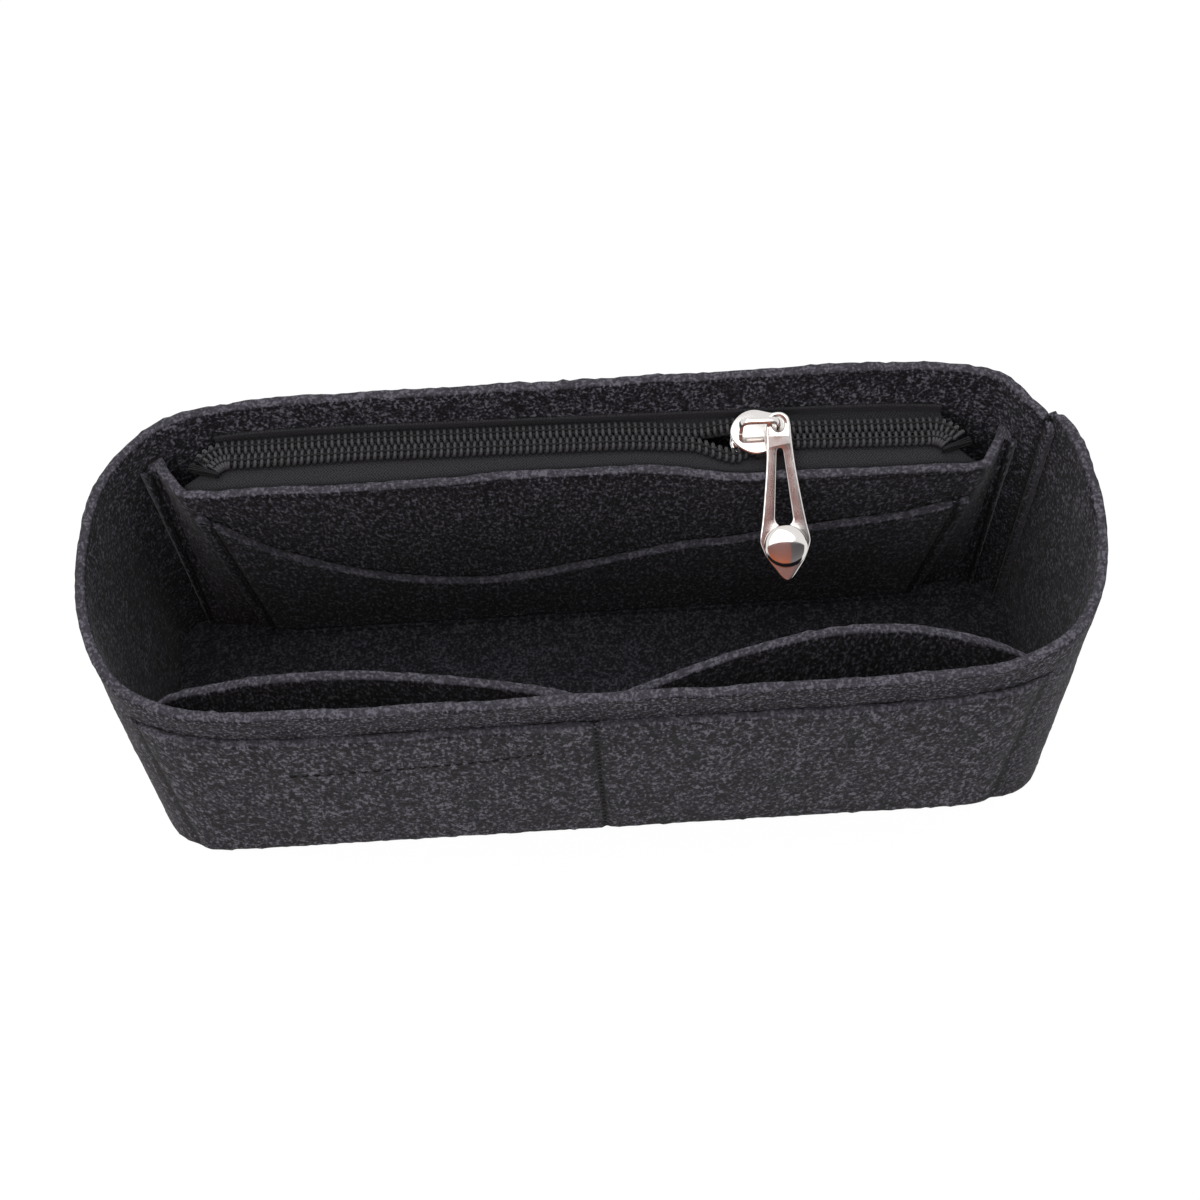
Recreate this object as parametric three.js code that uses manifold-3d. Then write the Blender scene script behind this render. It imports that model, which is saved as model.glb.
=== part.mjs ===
// Purse organizer insert: a lapped felt wall round an oblong felt base, with sewn felt pockets and a zip.
// Millimetres. X runs to the right, Y to the back, Z up. The origin is the middle of the base's underside.
import * as THREE from "three";
import { mergeVertices } from "three/addons/utils/BufferGeometryUtils.js";
import Module from "manifold-3d";

const wasm = await Module();
wasm.setup();

// Tub: the wall's outer outline at the foot and at the rim
const footLength = 240;
const footWidth = 70;
const footCornerRadius = 13;
const rimLength = 244.4;
const rimWidth = 86.8;
const rimShiftDepth = 3.9;
const wallHeight = 95;
const rimEndPower = 9;
const rimSidePower = 2.1;

// Felt and how it is joined
const wallFelt = 2.5;
const baseFelt = 2.4;
const pocketFelt = 2.4;
const outerFelt = 1.8;
const seamGap = 0.3;
const sewnTabWidth = 4;
const lapWidth = 6;
const lapRampLength = 12;
const lapCornerRadius = 7;
const lapAtShare = 0.291;

// Outer pocket on the front wall
const outerPocketHeight = 83;
const outerFootGap = 0.8;
const outerLeftEnd = 112;
const outerRightEnd = 107;

// Front inner pocket strip
const innerPocketHeight = 83;
const innerLeftEnd = 112;
const innerRightEnd = 108;
const innerCentreHalf = 2;
const leftBulgeDepth = 11.5;
const rightBulgeDepth = 15.4;
const leftSkewShare = 0.71;
const leftFullShare = 0.72;
const rightSkewShare = 1.36;
const rightFullShare = 0.65;

// Zip: where it lies and its tape and coils
const zipLevelHeight = 80.9;
const zipDropShare = 0.026;
const zipDriftShare = 0.006;
const zipLeftHalf = 88.5;
const zipRightHalf = 87;
const zipEndRadius = 6.5;
const zipEndAngle = 1.1;
const tapeFelt = 0.6;
const tapeRiseHeight = 3;
const tapeFallHeight = 7;
const coilWidth = 3.9;
const coilHeight = 2.2;
const coilPitch = 1.65;
const coilGrooveDepth = 0.45;
const coilLiftGap = 0.15;
const chainGap = 0.3;
const chainSwayDepth = 1.6;
const tapeGap = 0.15;
const stopLength = 1.2;

// Slider, its crown, the pull and the stud
const sliderLength = 14.4;
const sliderWidth = 12.8;
const tailWidth = 10.2;
const plateThick = 1.2;
const sliderAt = 43.5;
const runningGap = 0.3;
const sliderWallGap = 0.75;
const sliderPanelGap = 0.3;
const guideThick = 0.8;
const guideGap = 0.225;
const mouthInset = 1.2;
const wedgeWidth = 2.2;
const crownWidth = 1.8;
const crownThick = 1.2;
const crownInsideHeight = 4.3;
const crownGap = 0.2;
const crownBendRadius = 1.92;
const crownLeftLength = 5.184;
const pivotHeight = 2.75;
const legInsetLength = 2;
const pullLength = 39.4;
const pullWidth = 12.5;
const pullThick = 1.4;
const pullHeadLength = 3.1;
const eyeLength = 3.9;
const eyeWidth = 3;
const pullLieAngle = 18;
const studRadius = 5.4;
const studHeight = 2.6;
const studShankRadius = 1.6;
const studHeadRadius = 2.7;
const studHeadThick = 0.7;

// Zip pocket panel and wave pocket panel
const panelAboveHeight = 1.3;
const panelRightDepth = 3.6;
const panelLeftDepth = 1.5;
const flangeWidth = 6;
const meetTopShare = 0.317;
const meetFootShare = 0.325;

// Sewing thread
const threadWidth = 0.8;
const threadHeight = 0.45;
const threadLiftGap = 0.15;
const threadStepLength = 8;
const seamInsetWidth = 2.4;
const seamEndGap = 3;
const baseSeamRadius = 9.75;

const overrunLength = 0.4;

// Looks
const wallFeltLook = new THREE.MeshStandardMaterial({ color: 0x3a3a3e, roughness: 0.95 });
const pocketFeltLook = new THREE.MeshStandardMaterial({ color: 0x434348, roughness: 0.95 });
const tapeLook = new THREE.MeshStandardMaterial({ color: 0x2c2c30, roughness: 0.85 });
const coilLook = new THREE.MeshStandardMaterial({ color: 0x18181a, roughness: 0.4 });
const nickelLook = new THREE.MeshStandardMaterial({ color: 0xd8d4cf, roughness: 0.15, metalness: 1 });
const threadLook = new THREE.MeshStandardMaterial({ color: 0x1c1c1e, roughness: 0.8 });

const object = new THREE.Group();

function addPiece(name, geometry, material, parent = object) {
  const mesh = new THREE.Mesh(geometry, material);
  mesh.name = name;
  parent.add(mesh);
  return mesh;
}

const smooth = (share) => THREE.MathUtils.smoothstep(share, 0, 1);

// Solids

// Gives a geometry from points and triangles, turned so that its faces point out.
function closedGeometry(points, faces) {
  let volume = 0;
  const cross = new THREE.Vector3();
  for (const [a, b, c] of faces) volume += cross.crossVectors(points[b], points[c]).dot(points[a]);
  const index = faces.flatMap(([a, b, c]) => (volume < 0 ? [a, c, b] : [a, b, c]));
  const geometry = new THREE.BufferGeometry().setFromPoints(points);
  geometry.setIndex(index);
  return geometry;
}

// Joins rings of points into one closed solid. A ring of a sheet lists one face and then the other backwards,
// so that its end is closed like the rungs of a ladder. A ring loop has no ends.
function loft(rings, loop = false) {
  const count = rings[0].length;
  const faces = [];
  const last = loop ? rings.length : rings.length - 1;
  for (let k = 0; k < last; k++) {
    const here = k * count;
    const next = ((k + 1) % rings.length) * count;
    for (let i = 0; i < count; i++) {
      const j = (i + 1) % count;
      faces.push([here + i, here + j, next + j], [here + i, next + j, next + i]);
    }
  }
  if (!loop) {
    const end = (rings.length - 1) * count;
    for (let a = 0; a + 1 < count - 1 - a; a++) {
      const b = a + 1;
      const c = count - 2 - a;
      const d = count - 1 - a;
      faces.push([a, d, b], [end + a, end + b, end + d]);
      if (b < c) faces.push([b, d, c], [end + b, end + c, end + d]);
    }
  }
  return closedGeometry(rings.flat(), faces);
}

function toSolid(geometry) {
  const bare = geometry.clone();
  bare.deleteAttribute("normal");
  bare.deleteAttribute("uv");
  const merged = mergeVertices(bare);
  return new wasm.Manifold(
    new wasm.Mesh({
      numProp: 3,
      vertProperties: new Float32Array(merged.attributes.position.array),
      triVerts: new Uint32Array(merged.index.array),
    }),
  );
}

function joined(...geometries) {
  const mesh = geometries.map(toSolid).reduce((whole, piece) => whole.add(piece)).getMesh();
  const geometry = new THREE.BufferGeometry();
  geometry.setAttribute("position", new THREE.BufferAttribute(new Float32Array(mesh.vertProperties), 3));
  geometry.setIndex(new THREE.BufferAttribute(new Uint32Array(mesh.triVerts), 1));
  return geometry;
}

// Wall outlines

// The foot is an oblong with round corners, from the middle of the front, turning towards the right end.
function footOutline() {
  const x = footLength / 2 - footCornerRadius;
  const y = footWidth / 2 - footCornerRadius;
  const quarter = Math.PI / 2;
  const path = new THREE.Path();
  path.moveTo(0, -footWidth / 2);
  path.lineTo(x, -footWidth / 2);
  path.absarc(x, -y, footCornerRadius, -quarter, 0, false);
  path.lineTo(footLength / 2, y);
  path.absarc(x, y, footCornerRadius, 0, quarter, false);
  path.lineTo(-x, footWidth / 2);
  path.absarc(-x, y, footCornerRadius, quarter, 2 * quarter, false);
  path.lineTo(-footLength / 2, -y);
  path.absarc(-x, -y, footCornerRadius, 2 * quarter, 3 * quarter, false);
  path.lineTo(0, -footWidth / 2);
  return path;
}

// The rim is |x/a|^rimEndPower + |y/b|^rimSidePower = 1: nearly straight sides and full, round ends.
class RimOutline extends THREE.Curve {
  getPoint(share, target = new THREE.Vector2()) {
    const angle = (2 * share - 1 / 2) * Math.PI;
    const c = Math.abs(Math.cos(angle));
    const s = Math.abs(Math.sin(angle));
    let low = 0;
    let high = 2;
    for (let i = 0; i < 40; i++) {
      const middle = (low + high) / 2;
      const inside = (middle * c) ** rimEndPower + (middle * s) ** rimSidePower < 1;
      if (inside) low = middle;
      else high = middle;
    }
    const x = (rimLength / 2) * low * Math.cos(angle);
    const y = rimShiftDepth + (rimWidth / 2) * low * Math.sin(angle);
    return target.set(x, y);
  }
}

// A table of one outline at even distances, with its inward normal.
function outlineTable(curve, pointAt, count = 2400) {
  const table = [];
  for (let i = 0; i < count; i++) table.push(pointAt.call(curve, i / count));
  return table.map((point, i) => {
    const before = table[(i + count - 2) % count];
    const after = table[(i + 2) % count];
    const along = new THREE.Vector2().subVectors(after, before).normalize();
    return { point, inward: new THREE.Vector2(-along.y, along.x) };
  });
}

function lookUp(table, share) {
  const place = (share - Math.floor(share)) * table.length;
  const i = Math.floor(place) % table.length;
  const next = table[(i + 1) % table.length];
  const part = place - Math.floor(place);
  return {
    point: table[i].point.clone().lerp(next.point, part),
    inward: table[i].inward.clone().lerp(next.inward, part).normalize(),
  };
}

const footCurve = footOutline();
const rimCurve = new RimOutline();
rimCurve.arcLengthDivisions = 1500;
const footTable = outlineTable(footCurve, footCurve.getPoint);
const rimTable = outlineTable(rimCurve, rimCurve.getPointAt);
const perimeter = footCurve.getLength();
const lapAt = lapAtShare * perimeter;

// A point of the wall at a distance along the foot's outline, a height, and a depth into the tub.
function wallPoint(along, height, depth) {
  const foot = lookUp(footTable, along / perimeter);
  const rim = lookUp(rimTable, along / perimeter);
  const rise = height / wallHeight;
  const point = foot.point.lerp(rim.point, rise);
  const inward = foot.inward.lerp(rim.inward, rise).normalize();
  return new THREE.Vector3(point.x + inward.x * depth, point.y + inward.y * depth, height);
}

function wallInward(along, height) {
  return wallPoint(along, height, wallFelt).sub(wallPoint(along, height, 0)).normalize();
}

// The distances along the wall where it gets a row of points: close together round the four corners.
const nearCornerShare = 0.28;
const halfSideCount = 5;
const nearCount = 8;
const cornerCount = 6;
const endCount = 9;

function wallStations() {
  const long = footLength / 2 - footCornerRadius;
  const near = long * nearCornerShare;
  const halfSide = [long - near, halfSideCount];
  const corner = [
    [near, nearCount],
    [(Math.PI / 2) * footCornerRadius, cornerCount],
  ];
  const end = [...corner, [footWidth - 2 * footCornerRadius, endCount], ...corner.toReversed()];
  const spans = [halfSide, ...end, halfSide, halfSide, ...end, halfSide];
  const stations = [];
  let start = 0;
  for (const [length, count] of spans) {
    for (let i = 0; i < count; i++) stations.push(start + (length * i) / count);
    start += length;
  }
  return stations;
}

const stations = wallStations();

// Close rows of points at the two ends of the strip, so that their rounded top corners are round.
const cornerShares = [0, 0.08, 0.3, 0.6, 1];
const startStations = cornerShares.map((share) => share * lapCornerRadius);
const endStations = cornerShares.map((share) => perimeter + lapWidth - share * lapCornerRadius).reverse();

// From the lap's inner end the strip ramps out to the outline.
const rampStart = lapWidth + lapCornerRadius / 2;
const rampSteps = 6;
const rampPlaces = Array.from({ length: rampSteps + 1 }, (_, i) => (lapRampLength * i) / rampSteps);
const rampStations = rampPlaces.map((place) => rampStart + place);

// One turn of distances from the lap, and how deep the strip's outer face lies below the outline there.
const bandStations = [
  ...startStations,
  ...rampStations,
  ...stations
    .flatMap((place) => [place - lapAt, place - lapAt + perimeter])
    .filter((place) => place > rampStart + lapRampLength + seamGap && place < endStations[0] - seamGap)
    .sort((a, b) => a - b),
];

function lapDepth(place) {
  return (wallFelt + seamGap) * (1 - smooth((place - rampStart) / lapRampLength));
}

// How deep the wall's inner face lies below the outline: deeper where the strip's first end lies inside.
function insideDepth(along) {
  const place = (((along - lapAt) % perimeter) + perimeter) % perimeter;
  return lapDepth(place) + wallFelt;
}

function roundedTop(fromEnd) {
  const short = Math.max(lapCornerRadius - fromEnd, 0);
  return wallHeight - lapCornerRadius + Math.sqrt(Math.max(lapCornerRadius ** 2 - short ** 2, 0));
}

function wallBand() {
  const end = perimeter + lapWidth;
  const rings = [...bandStations, ...endStations].map((place) => {
    const depth = lapDepth(place);
    const top = Math.min(roundedTop(place), roundedTop(end - place));
    const levels = [0, wallHeight / 2, top];
    const outside = levels.map((level) => wallPoint(lapAt + place, level, depth));
    const inside = levels.map((level) => wallPoint(lapAt + place, level, depth + wallFelt));
    return [...outside, ...inside.reverse()];
  });
  return loft(rings);
}

// The base follows the wall's inner face. Points where its outline runs straight on are left out.
const straightSine = 0.002;

function basePanel() {
  const edge = (place) => {
    const point = wallPoint(lapAt + place, 0, lapDepth(place) + wallFelt + seamGap);
    return new THREE.Vector2(point.x, point.y);
  };
  const outline = [...bandStations, perimeter - seamGap].map(edge);
  const bends = outline.filter((point, i) => {
    const before = outline[(i + outline.length - 1) % outline.length].clone().sub(point).normalize();
    const after = outline[(i + 1) % outline.length].clone().sub(point).normalize();
    return Math.abs(before.cross(after)) > straightSine;
  });
  return new THREE.ExtrudeGeometry(new THREE.Shape(bends), { depth: baseFelt, bevelEnabled: false });
}

// Outer pocket: it lies flat on the front wall, sewn at both ends and the middle.
function outerPocketPanel() {
  const columns = 28;
  const rows = 4;
  const rings = [];
  for (let i = 0; i <= columns; i++) {
    const share = (1 - Math.cos((Math.PI * i) / columns)) / 2;
    const along = THREE.MathUtils.lerp(-outerLeftEnd, outerRightEnd, share);
    const face = [];
    const back = [];
    for (let k = 0; k <= rows; k++) {
      const level = THREE.MathUtils.lerp(outerFootGap, outerPocketHeight, k / rows);
      face.push(wallPoint(along, level, -seamGap - outerFelt));
      back.push(wallPoint(along, level, -seamGap));
    }
    rings.push([...face, ...back.reverse()]);
  }
  return loft(rings);
}

// Front inner pocket: each half bulges as depth times sin(pi u^skew)^fullness between its two seams.
const innerFoot = baseFelt + seamGap;

function bulge(share, depth, skew, fullness) {
  return depth * Math.max(Math.sin(Math.PI * share ** skew), 0) ** fullness;
}

// The places where the strip is sewn flat to the wall: a tab at each end and a band in the middle.
const innerSeams = [
  [-innerLeftEnd, -innerLeftEnd + sewnTabWidth],
  [-innerCentreHalf, innerCentreHalf],
  [innerRightEnd - sewnTabWidth, innerRightEnd],
];

function innerBulge(along) {
  const [left, middle, right] = innerSeams;
  if (along < middle[0]) {
    const share = (along - left[1]) / (middle[0] - left[1]);
    return bulge(Math.max(share, 0), leftBulgeDepth, leftSkewShare, leftFullShare);
  }
  const share = (along - middle[1]) / (right[0] - middle[1]);
  return bulge(THREE.MathUtils.clamp(share, 0, 1), rightBulgeDepth, rightSkewShare, rightFullShare);
}

function innerPocketDepth(along, level) {
  const open = THREE.MathUtils.clamp((level - innerFoot) / (innerPocketHeight - innerFoot), 0, 1);
  return wallFelt + seamGap + innerBulge(along) * open;
}

function frontInnerPocket() {
  const [left, middle, right] = innerSeams;
  const places = [left[0], (left[0] + left[1]) / 2];
  const columns = 24;
  for (const [start, stop] of [
    [left[1], middle[0]],
    [middle[1], right[0]],
  ]) {
    for (let i = 0; i <= columns; i++) {
      places.push(THREE.MathUtils.lerp(start, stop, (1 - Math.cos((Math.PI * i) / columns)) / 2));
    }
  }
  places.push((right[0] + right[1]) / 2, right[1]);
  const rings = places.map((along) => {
    const levels = [innerFoot, (innerFoot + innerPocketHeight) / 2, innerPocketHeight];
    const back = levels.map((level) => wallPoint(along, level, innerPocketDepth(along, level)));
    const face = levels.map((level) => wallPoint(along, level, innerPocketDepth(along, level) + pocketFelt));
    return [...face, ...back.reverse()];
  });
  return loft(rings);
}

// Zip frame: x along the chain, v to the back and w up. It drops and drifts forward a little to the right.
const backInside = wallPoint(perimeter / 2, zipLevelHeight + coilHeight, wallFelt).y;
const zipBack = backInside - sliderWallGap - sliderWidth / 2;
const zipFrame = new THREE.Group();
zipFrame.position.set(0, zipBack, zipLevelHeight);
zipFrame.rotation.set(0, Math.atan(zipDropShare), -Math.atan(zipDriftShare));
zipFrame.updateMatrixWorld();
object.add(zipFrame);

function zipPoint(x, v, w) {
  return zipFrame.localToWorld(new THREE.Vector3(x, v, w));
}

// Where a row of places, walked from low to high, first stands at x in the zip's frame: its v there.
function besideZip(x, low, high, spot) {
  const turned = zipFrame.worldToLocal(spot(high)).x < zipFrame.worldToLocal(spot(low)).x;
  for (let i = 0; i < 30; i++) {
    const middle = (low + high) / 2;
    const before = zipFrame.worldToLocal(spot(middle)).x < x;
    if (before !== turned) low = middle;
    else high = middle;
  }
  return zipFrame.worldToLocal(spot((low + high) / 2)).y;
}

// The face of the back wall at a depth below its outline, beside a point of the zip, as a distance v.
function backWallV(x, w, depth) {
  const level = zipPoint(x, 0, w).z;
  const reach = footLength / 2;
  const spot = (along) => wallPoint(along, level, depth);
  return besideZip(x, perimeter / 2 - reach, perimeter / 2 + reach, spot);
}

// Left of the slider the chain lies a little nearer the wall, and towards both ends a little further away.
const swaySpan = 2.5 * sliderLength;
const swayBackShare = 0.8;
const swayRightShare = 1 / 3;
const swayLeftShare = 0.6;

function sway(x) {
  const back = 1 - smooth((x - sliderAt + swaySpan) / (swayBackShare * swaySpan));
  const right = smooth((x - sliderAt - sliderLength / 2) / swaySpan);
  const left = smooth((-x - zipLeftHalf + swaySpan) / swaySpan);
  return chainSwayDepth * (back - right * swayRightShare - left * swayLeftShare);
}

// How far each row stands off the middle of the chain: they part round the slider's wedge and meet behind it.
const frontPartingWidth = 3.4;
const backPartingWidth = 1.5;
const throatPartingWidth = 1.2;
const partStartShare = 2.4;
const throatShare = 1 / 6;
const meetShare = 0.45;

function parting(x, widest) {
  const u = x - sliderAt;
  const half = sliderLength / 2;
  const mouth = -half + mouthInset;
  const throat = -half * throatShare;
  const meet = half * meetShare;
  const start = -half * partStartShare;
  if (u < mouth) return widest * smooth((u - start) / (mouth - start));
  const narrowing = smooth((u - mouth) / (throat - mouth));
  if (u < throat) return THREE.MathUtils.lerp(widest, throatPartingWidth, narrowing);
  return throatPartingWidth * (1 - smooth((u - throat) / (meet - throat)));
}

// The middle of the chain: straight between its ends, and an arc forward at each end.
function chainFrame(place) {
  const right = place > 0;
  const half = right ? zipRightHalf : zipLeftHalf;
  const past = Math.abs(place) - half;
  const side = right ? 1 : -1;
  if (past <= 0) return { x: place, v: sway(place), across: new THREE.Vector2(0, 1) };
  const turn = past / zipEndRadius;
  return {
    x: side * (half + zipEndRadius * Math.sin(turn)),
    v: sway(side * half) - zipEndRadius * (1 - Math.cos(turn)),
    across: new THREE.Vector2(side * Math.sin(turn), Math.cos(turn)),
  };
}

const chainLeft = -zipLeftHalf - zipEndRadius * zipEndAngle;
const chainRight = zipRightHalf + zipEndRadius * zipEndAngle;

// A point beside the chain: side is 1 for the back row and -1 for the front row.
function chainPoint(place, side, off, w) {
  const frame = chainFrame(place);
  const part = parting(frame.x, side > 0 ? backPartingWidth : frontPartingWidth);
  const reach = side * (chainGap / 2 + part + off);
  return zipPoint(frame.x + frame.across.x * reach, frame.v + frame.across.y * reach, w);
}

function zipCoil(side) {
  const turns = Math.round((chainRight - chainLeft) / coilPitch);
  const rings = [];
  for (let i = 0; i <= 2 * turns; i++) {
    const place = THREE.MathUtils.lerp(chainLeft, chainRight, i / (2 * turns));
    const groove = i % 2 === 0 ? coilGrooveDepth : 0;
    const near = groove / 2;
    const far = coilWidth - groove;
    const top = coilLiftGap + coilHeight - groove;
    rings.push([
      chainPoint(place, side, near, coilLiftGap),
      chainPoint(place, side, far, coilLiftGap),
      chainPoint(place, side, far, top),
      chainPoint(place, side, near, top),
    ]);
  }
  return loft(rings);
}

// Zip pocket panel: from the left wall round a corner, along the front of the zip and back to the right wall.
const panelTop = (x) => zipPoint(x, 0, panelAboveHeight).z;
const panelLine = zipBack - sliderWidth / 2 - sliderPanelGap - pocketFelt / 2;
const meetTop = meetTopShare * perimeter;
const meetFoot = meetFootShare * perimeter;

const panelRightStartShare = 2.1;
const panelRightSpanShare = 1.9;
const panelLeftSpanShare = 3.5;

function panelFront(x) {
  const beyond = x - sliderAt + panelRightStartShare * sliderLength;
  const right = smooth(beyond / (panelRightSpanShare * sliderLength));
  const left = smooth((-x - sliderLength / 2) / (panelLeftSpanShare * sliderLength));
  return panelLine - panelRightDepth * right - panelLeftDepth * left;
}

// Near each end the panel turns through two corner points: shares of the way to the straight part in x and y.
const panelEndShare = 0.872;
const panelReachShare = 0.8;
const panelCornerShares = [
  [0.372, 0.6],
  [0.614, 0.94],
];
const panelEndLevel = (side) => panelTop((side * footLength * panelEndShare) / 2);

function panelTopCurve() {
  const ends = [-1, 1].map((side) => {
    const along = side * meetTop;
    return wallPoint(along, panelEndLevel(side), insideDepth(along) + seamGap + pocketFelt / 2);
  });
  const reach = (footLength / 2) * panelReachShare;
  const points = [];
  const steps = 16;
  for (let i = 0; i <= steps; i++) {
    const x = THREE.MathUtils.lerp(-reach, reach, i / steps);
    points.push(new THREE.Vector3(x, panelFront(x), panelTop(x)));
  }
  const corner = (end, last) =>
    panelCornerShares.map(([xShare, yShare]) => {
      const x = THREE.MathUtils.lerp(end.x, last.x, xShare);
      const y = THREE.MathUtils.lerp(end.y, last.y, yShare);
      return new THREE.Vector3(x, y, panelTop(x));
    });
  const left = [ends[0], ...corner(ends[0], points[0])];
  const right = [ends[1], ...corner(ends[1], points[steps])];
  const route = [...left, ...points, ...right.reverse()];
  return new THREE.CatmullRomCurve3(route, false, "centripetal");
}

const panelCurve = panelTopCurve();

// The foot of the panel lies straight along the back wall's foot, and its ends reach the wall at the corners.
function panelFootPoint(share) {
  const [left, right] = [-meetFoot, meetFoot].map((along) => {
    return wallPoint(along, innerFoot, insideDepth(along) + seamGap + pocketFelt / 2);
  });
  const y = footWidth / 2 - wallFelt - seamGap - pocketFelt / 2;
  const x = THREE.MathUtils.lerp(left.x, right.x, share);
  const reach = Math.min(share, 1 - share) * (right.x - left.x);
  const end = share < 1 / 2 ? left : right;
  return new THREE.Vector3(x, THREE.MathUtils.lerp(end.y, y, smooth(reach / footCornerRadius)), innerFoot);
}

// A point of the panel at a share of its length and of its height, off its middle towards the front.
const slopeShare = 0.002;

function panelPoint(share, rise, forward) {
  const at = (place) => {
    const safe = THREE.MathUtils.clamp(place, 0, 1);
    return panelFootPoint(safe).lerp(panelCurve.getPointAt(safe), rise);
  };
  const along = at(share + slopeShare).sub(at(share - slopeShare));
  const off = new THREE.Vector3(along.y, -along.x, 0).normalize();
  return at(share).addScaledVector(off, forward);
}

const flangeSeamShare = -0.65;
const flangeShares = [-1, flangeSeamShare, -0.35, -0.1, 0.15, 0.35];
const flangeRiseShares = [0, 0.25, 0.5, 0.75, 1];
const flangeRowShares = [0.06, 0.25, 0.5, 0.75, 0.96];

function flange(side) {
  const places = flangeShares.map((share) => share * flangeWidth);
  const rings = places.map((place) => {
    const face = [];
    const back = [];
    for (const share of flangeRiseShares) {
      const along = side * (THREE.MathUtils.lerp(meetFoot, meetTop, share) + place);
      const level = THREE.MathUtils.lerp(innerFoot, panelEndLevel(side), share);
      const depth = insideDepth(along) + seamGap;
      face.push(wallPoint(along, level, depth + pocketFelt));
      back.push(wallPoint(along, level, depth));
    }
    return [...face, ...back.reverse()];
  });
  return loft(rings);
}

const panelColumns = 60;

function zipPocketPanel() {
  const rings = [];
  for (let i = 0; i <= panelColumns; i++) {
    const share = i / panelColumns;
    rings.push([
      panelPoint(share, 0, pocketFelt / 2),
      panelPoint(share, 1, pocketFelt / 2),
      panelPoint(share, 1, -pocketFelt / 2),
      panelPoint(share, 0, -pocketFelt / 2),
    ]);
  }
  return joined(loft(rings), flange(-1), flange(1));
}

// Wave pocket: its top edge is a smooth line through shares of the panel's half length and of its height.
const waveShares = [
  [-0.81, 0.94],
  [-0.705, 0.69],
  [-0.55, 0.495],
  [-0.37, 0.375],
  [-0.18, 0.35],
  [0.07, 0.46],
  [0.36, 0.62],
  [0.67, 0.71],
  [0.81, 0.8],
];
const waveCurve = new THREE.SplineCurve(
  waveShares.map(([x, z]) => new THREE.Vector2((x * footLength) / 2, z * zipLevelHeight)),
);

function waveHeight(x) {
  let low = 0;
  let high = 1;
  for (let i = 0; i < 30; i++) {
    const middle = (low + high) / 2;
    if (waveCurve.getPoint(middle).x < x) low = middle;
    else high = middle;
  }
  return waveCurve.getPoint((low + high) / 2).y;
}

const waveEndShare = 0.055;
const waveSeamShare = 0.015;
const wavePlace = (across) => THREE.MathUtils.lerp(waveEndShare, 1 - waveEndShare, across);

function wavePoint(across, level, forward) {
  const share = wavePlace(across);
  const top = panelCurve.getPointAt(share).z;
  const rise = THREE.MathUtils.clamp((level - innerFoot) / (top - innerFoot), 0, 1);
  return panelPoint(share, rise, pocketFelt / 2 + seamGap + forward);
}

const waveTop = (across) => waveHeight(panelCurve.getPointAt(wavePlace(across)).x);

function wavePocketPanel() {
  const columns = 52;
  const rings = [];
  for (let i = 0; i <= columns; i++) {
    const across = i / columns;
    const levels = [innerFoot, waveTop(across)];
    const face = levels.map((level) => wavePoint(across, level, pocketFelt));
    const back = levels.map((level) => wavePoint(across, level, 0));
    rings.push([...face, ...back.reverse()]);
  }
  return loft(rings);
}

// Zip tape: the back one runs from the chain to the wall and turns up it. The front one turns down behind
// the panel. Past the chain's straight part the lines across it fan out, because only the chain curves.
function tapeStation(i, count) {
  const place = THREE.MathUtils.lerp(chainLeft, chainRight, i / count);
  const half = place > 0 ? zipRightHalf : zipLeftHalf;
  const past = Math.max(Math.abs(place) - half, 0);
  return { place, outer: Math.sign(place) * (Math.min(Math.abs(place), half) + past / 2) };
}

function zipTapeBack() {
  const count = 46;
  const rings = [];
  for (let i = 0; i <= count; i++) {
    const { place, outer } = tapeStation(i, count);
    const level = [-tapeFelt, tapeRiseHeight].map((w) => backWallV(outer, w, wallFelt + tapeGap));
    rings.push([
      chainPoint(place, 1, 0, 0),
      zipPoint(outer, level[0] - tapeFelt, 0),
      zipPoint(outer, level[1] - tapeFelt, tapeRiseHeight),
      zipPoint(outer, level[1], tapeRiseHeight),
      zipPoint(outer, level[0], -tapeFelt),
      chainPoint(place, 1, 0, -tapeFelt),
    ]);
  }
  return loft(rings);
}

// The back face of the panel beside a point of the zip, as a distance v.
function panelBackV(x, w) {
  const rise = (zipPoint(x, 0, w).z - innerFoot) / (panelTop(x) - innerFoot);
  return besideZip(x, 0, 1, (share) => panelPoint(share, Math.min(rise, 1), -pocketFelt / 2));
}

function zipTapeFront() {
  const count = 46;
  const rings = [];
  for (let i = 0; i <= count; i++) {
    const { place, outer } = tapeStation(i, count);
    const high = panelBackV(outer, 0) + seamGap;
    const low = panelBackV(outer, -tapeFallHeight) + seamGap;
    rings.push([
      chainPoint(place, -1, 0, -tapeFelt),
      zipPoint(outer, high + tapeFelt, -tapeFelt),
      zipPoint(outer, low + tapeFelt, -tapeFallHeight),
      zipPoint(outer, low, -tapeFallHeight),
      zipPoint(outer, high, 0),
      chainPoint(place, -1, 0, 0),
    ]);
  }
  return loft(rings);
}

// End stops: a sewn bar over both rows just past the last turn of the coils.
function zipStop(end) {
  const side = Math.sign(end);
  const frame = chainFrame(end + side * runningGap);
  const along = new THREE.Vector2(frame.across.y, -frame.across.x).multiplyScalar(side);
  const half = chainGap / 2 + coilWidth;
  const ring = (step) => {
    const corners = [
      [-half, coilLiftGap],
      [half, coilLiftGap],
      [half, coilLiftGap + coilHeight],
      [-half, coilLiftGap + coilHeight],
    ];
    return corners.map(([across, w]) => {
      const x = frame.x + frame.across.x * across + along.x * step;
      const v = frame.v + frame.across.y * across + along.y * step;
      return zipPoint(x, v, w);
    });
  };
  return loft([ring(0), ring(stopLength)]);
}

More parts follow.
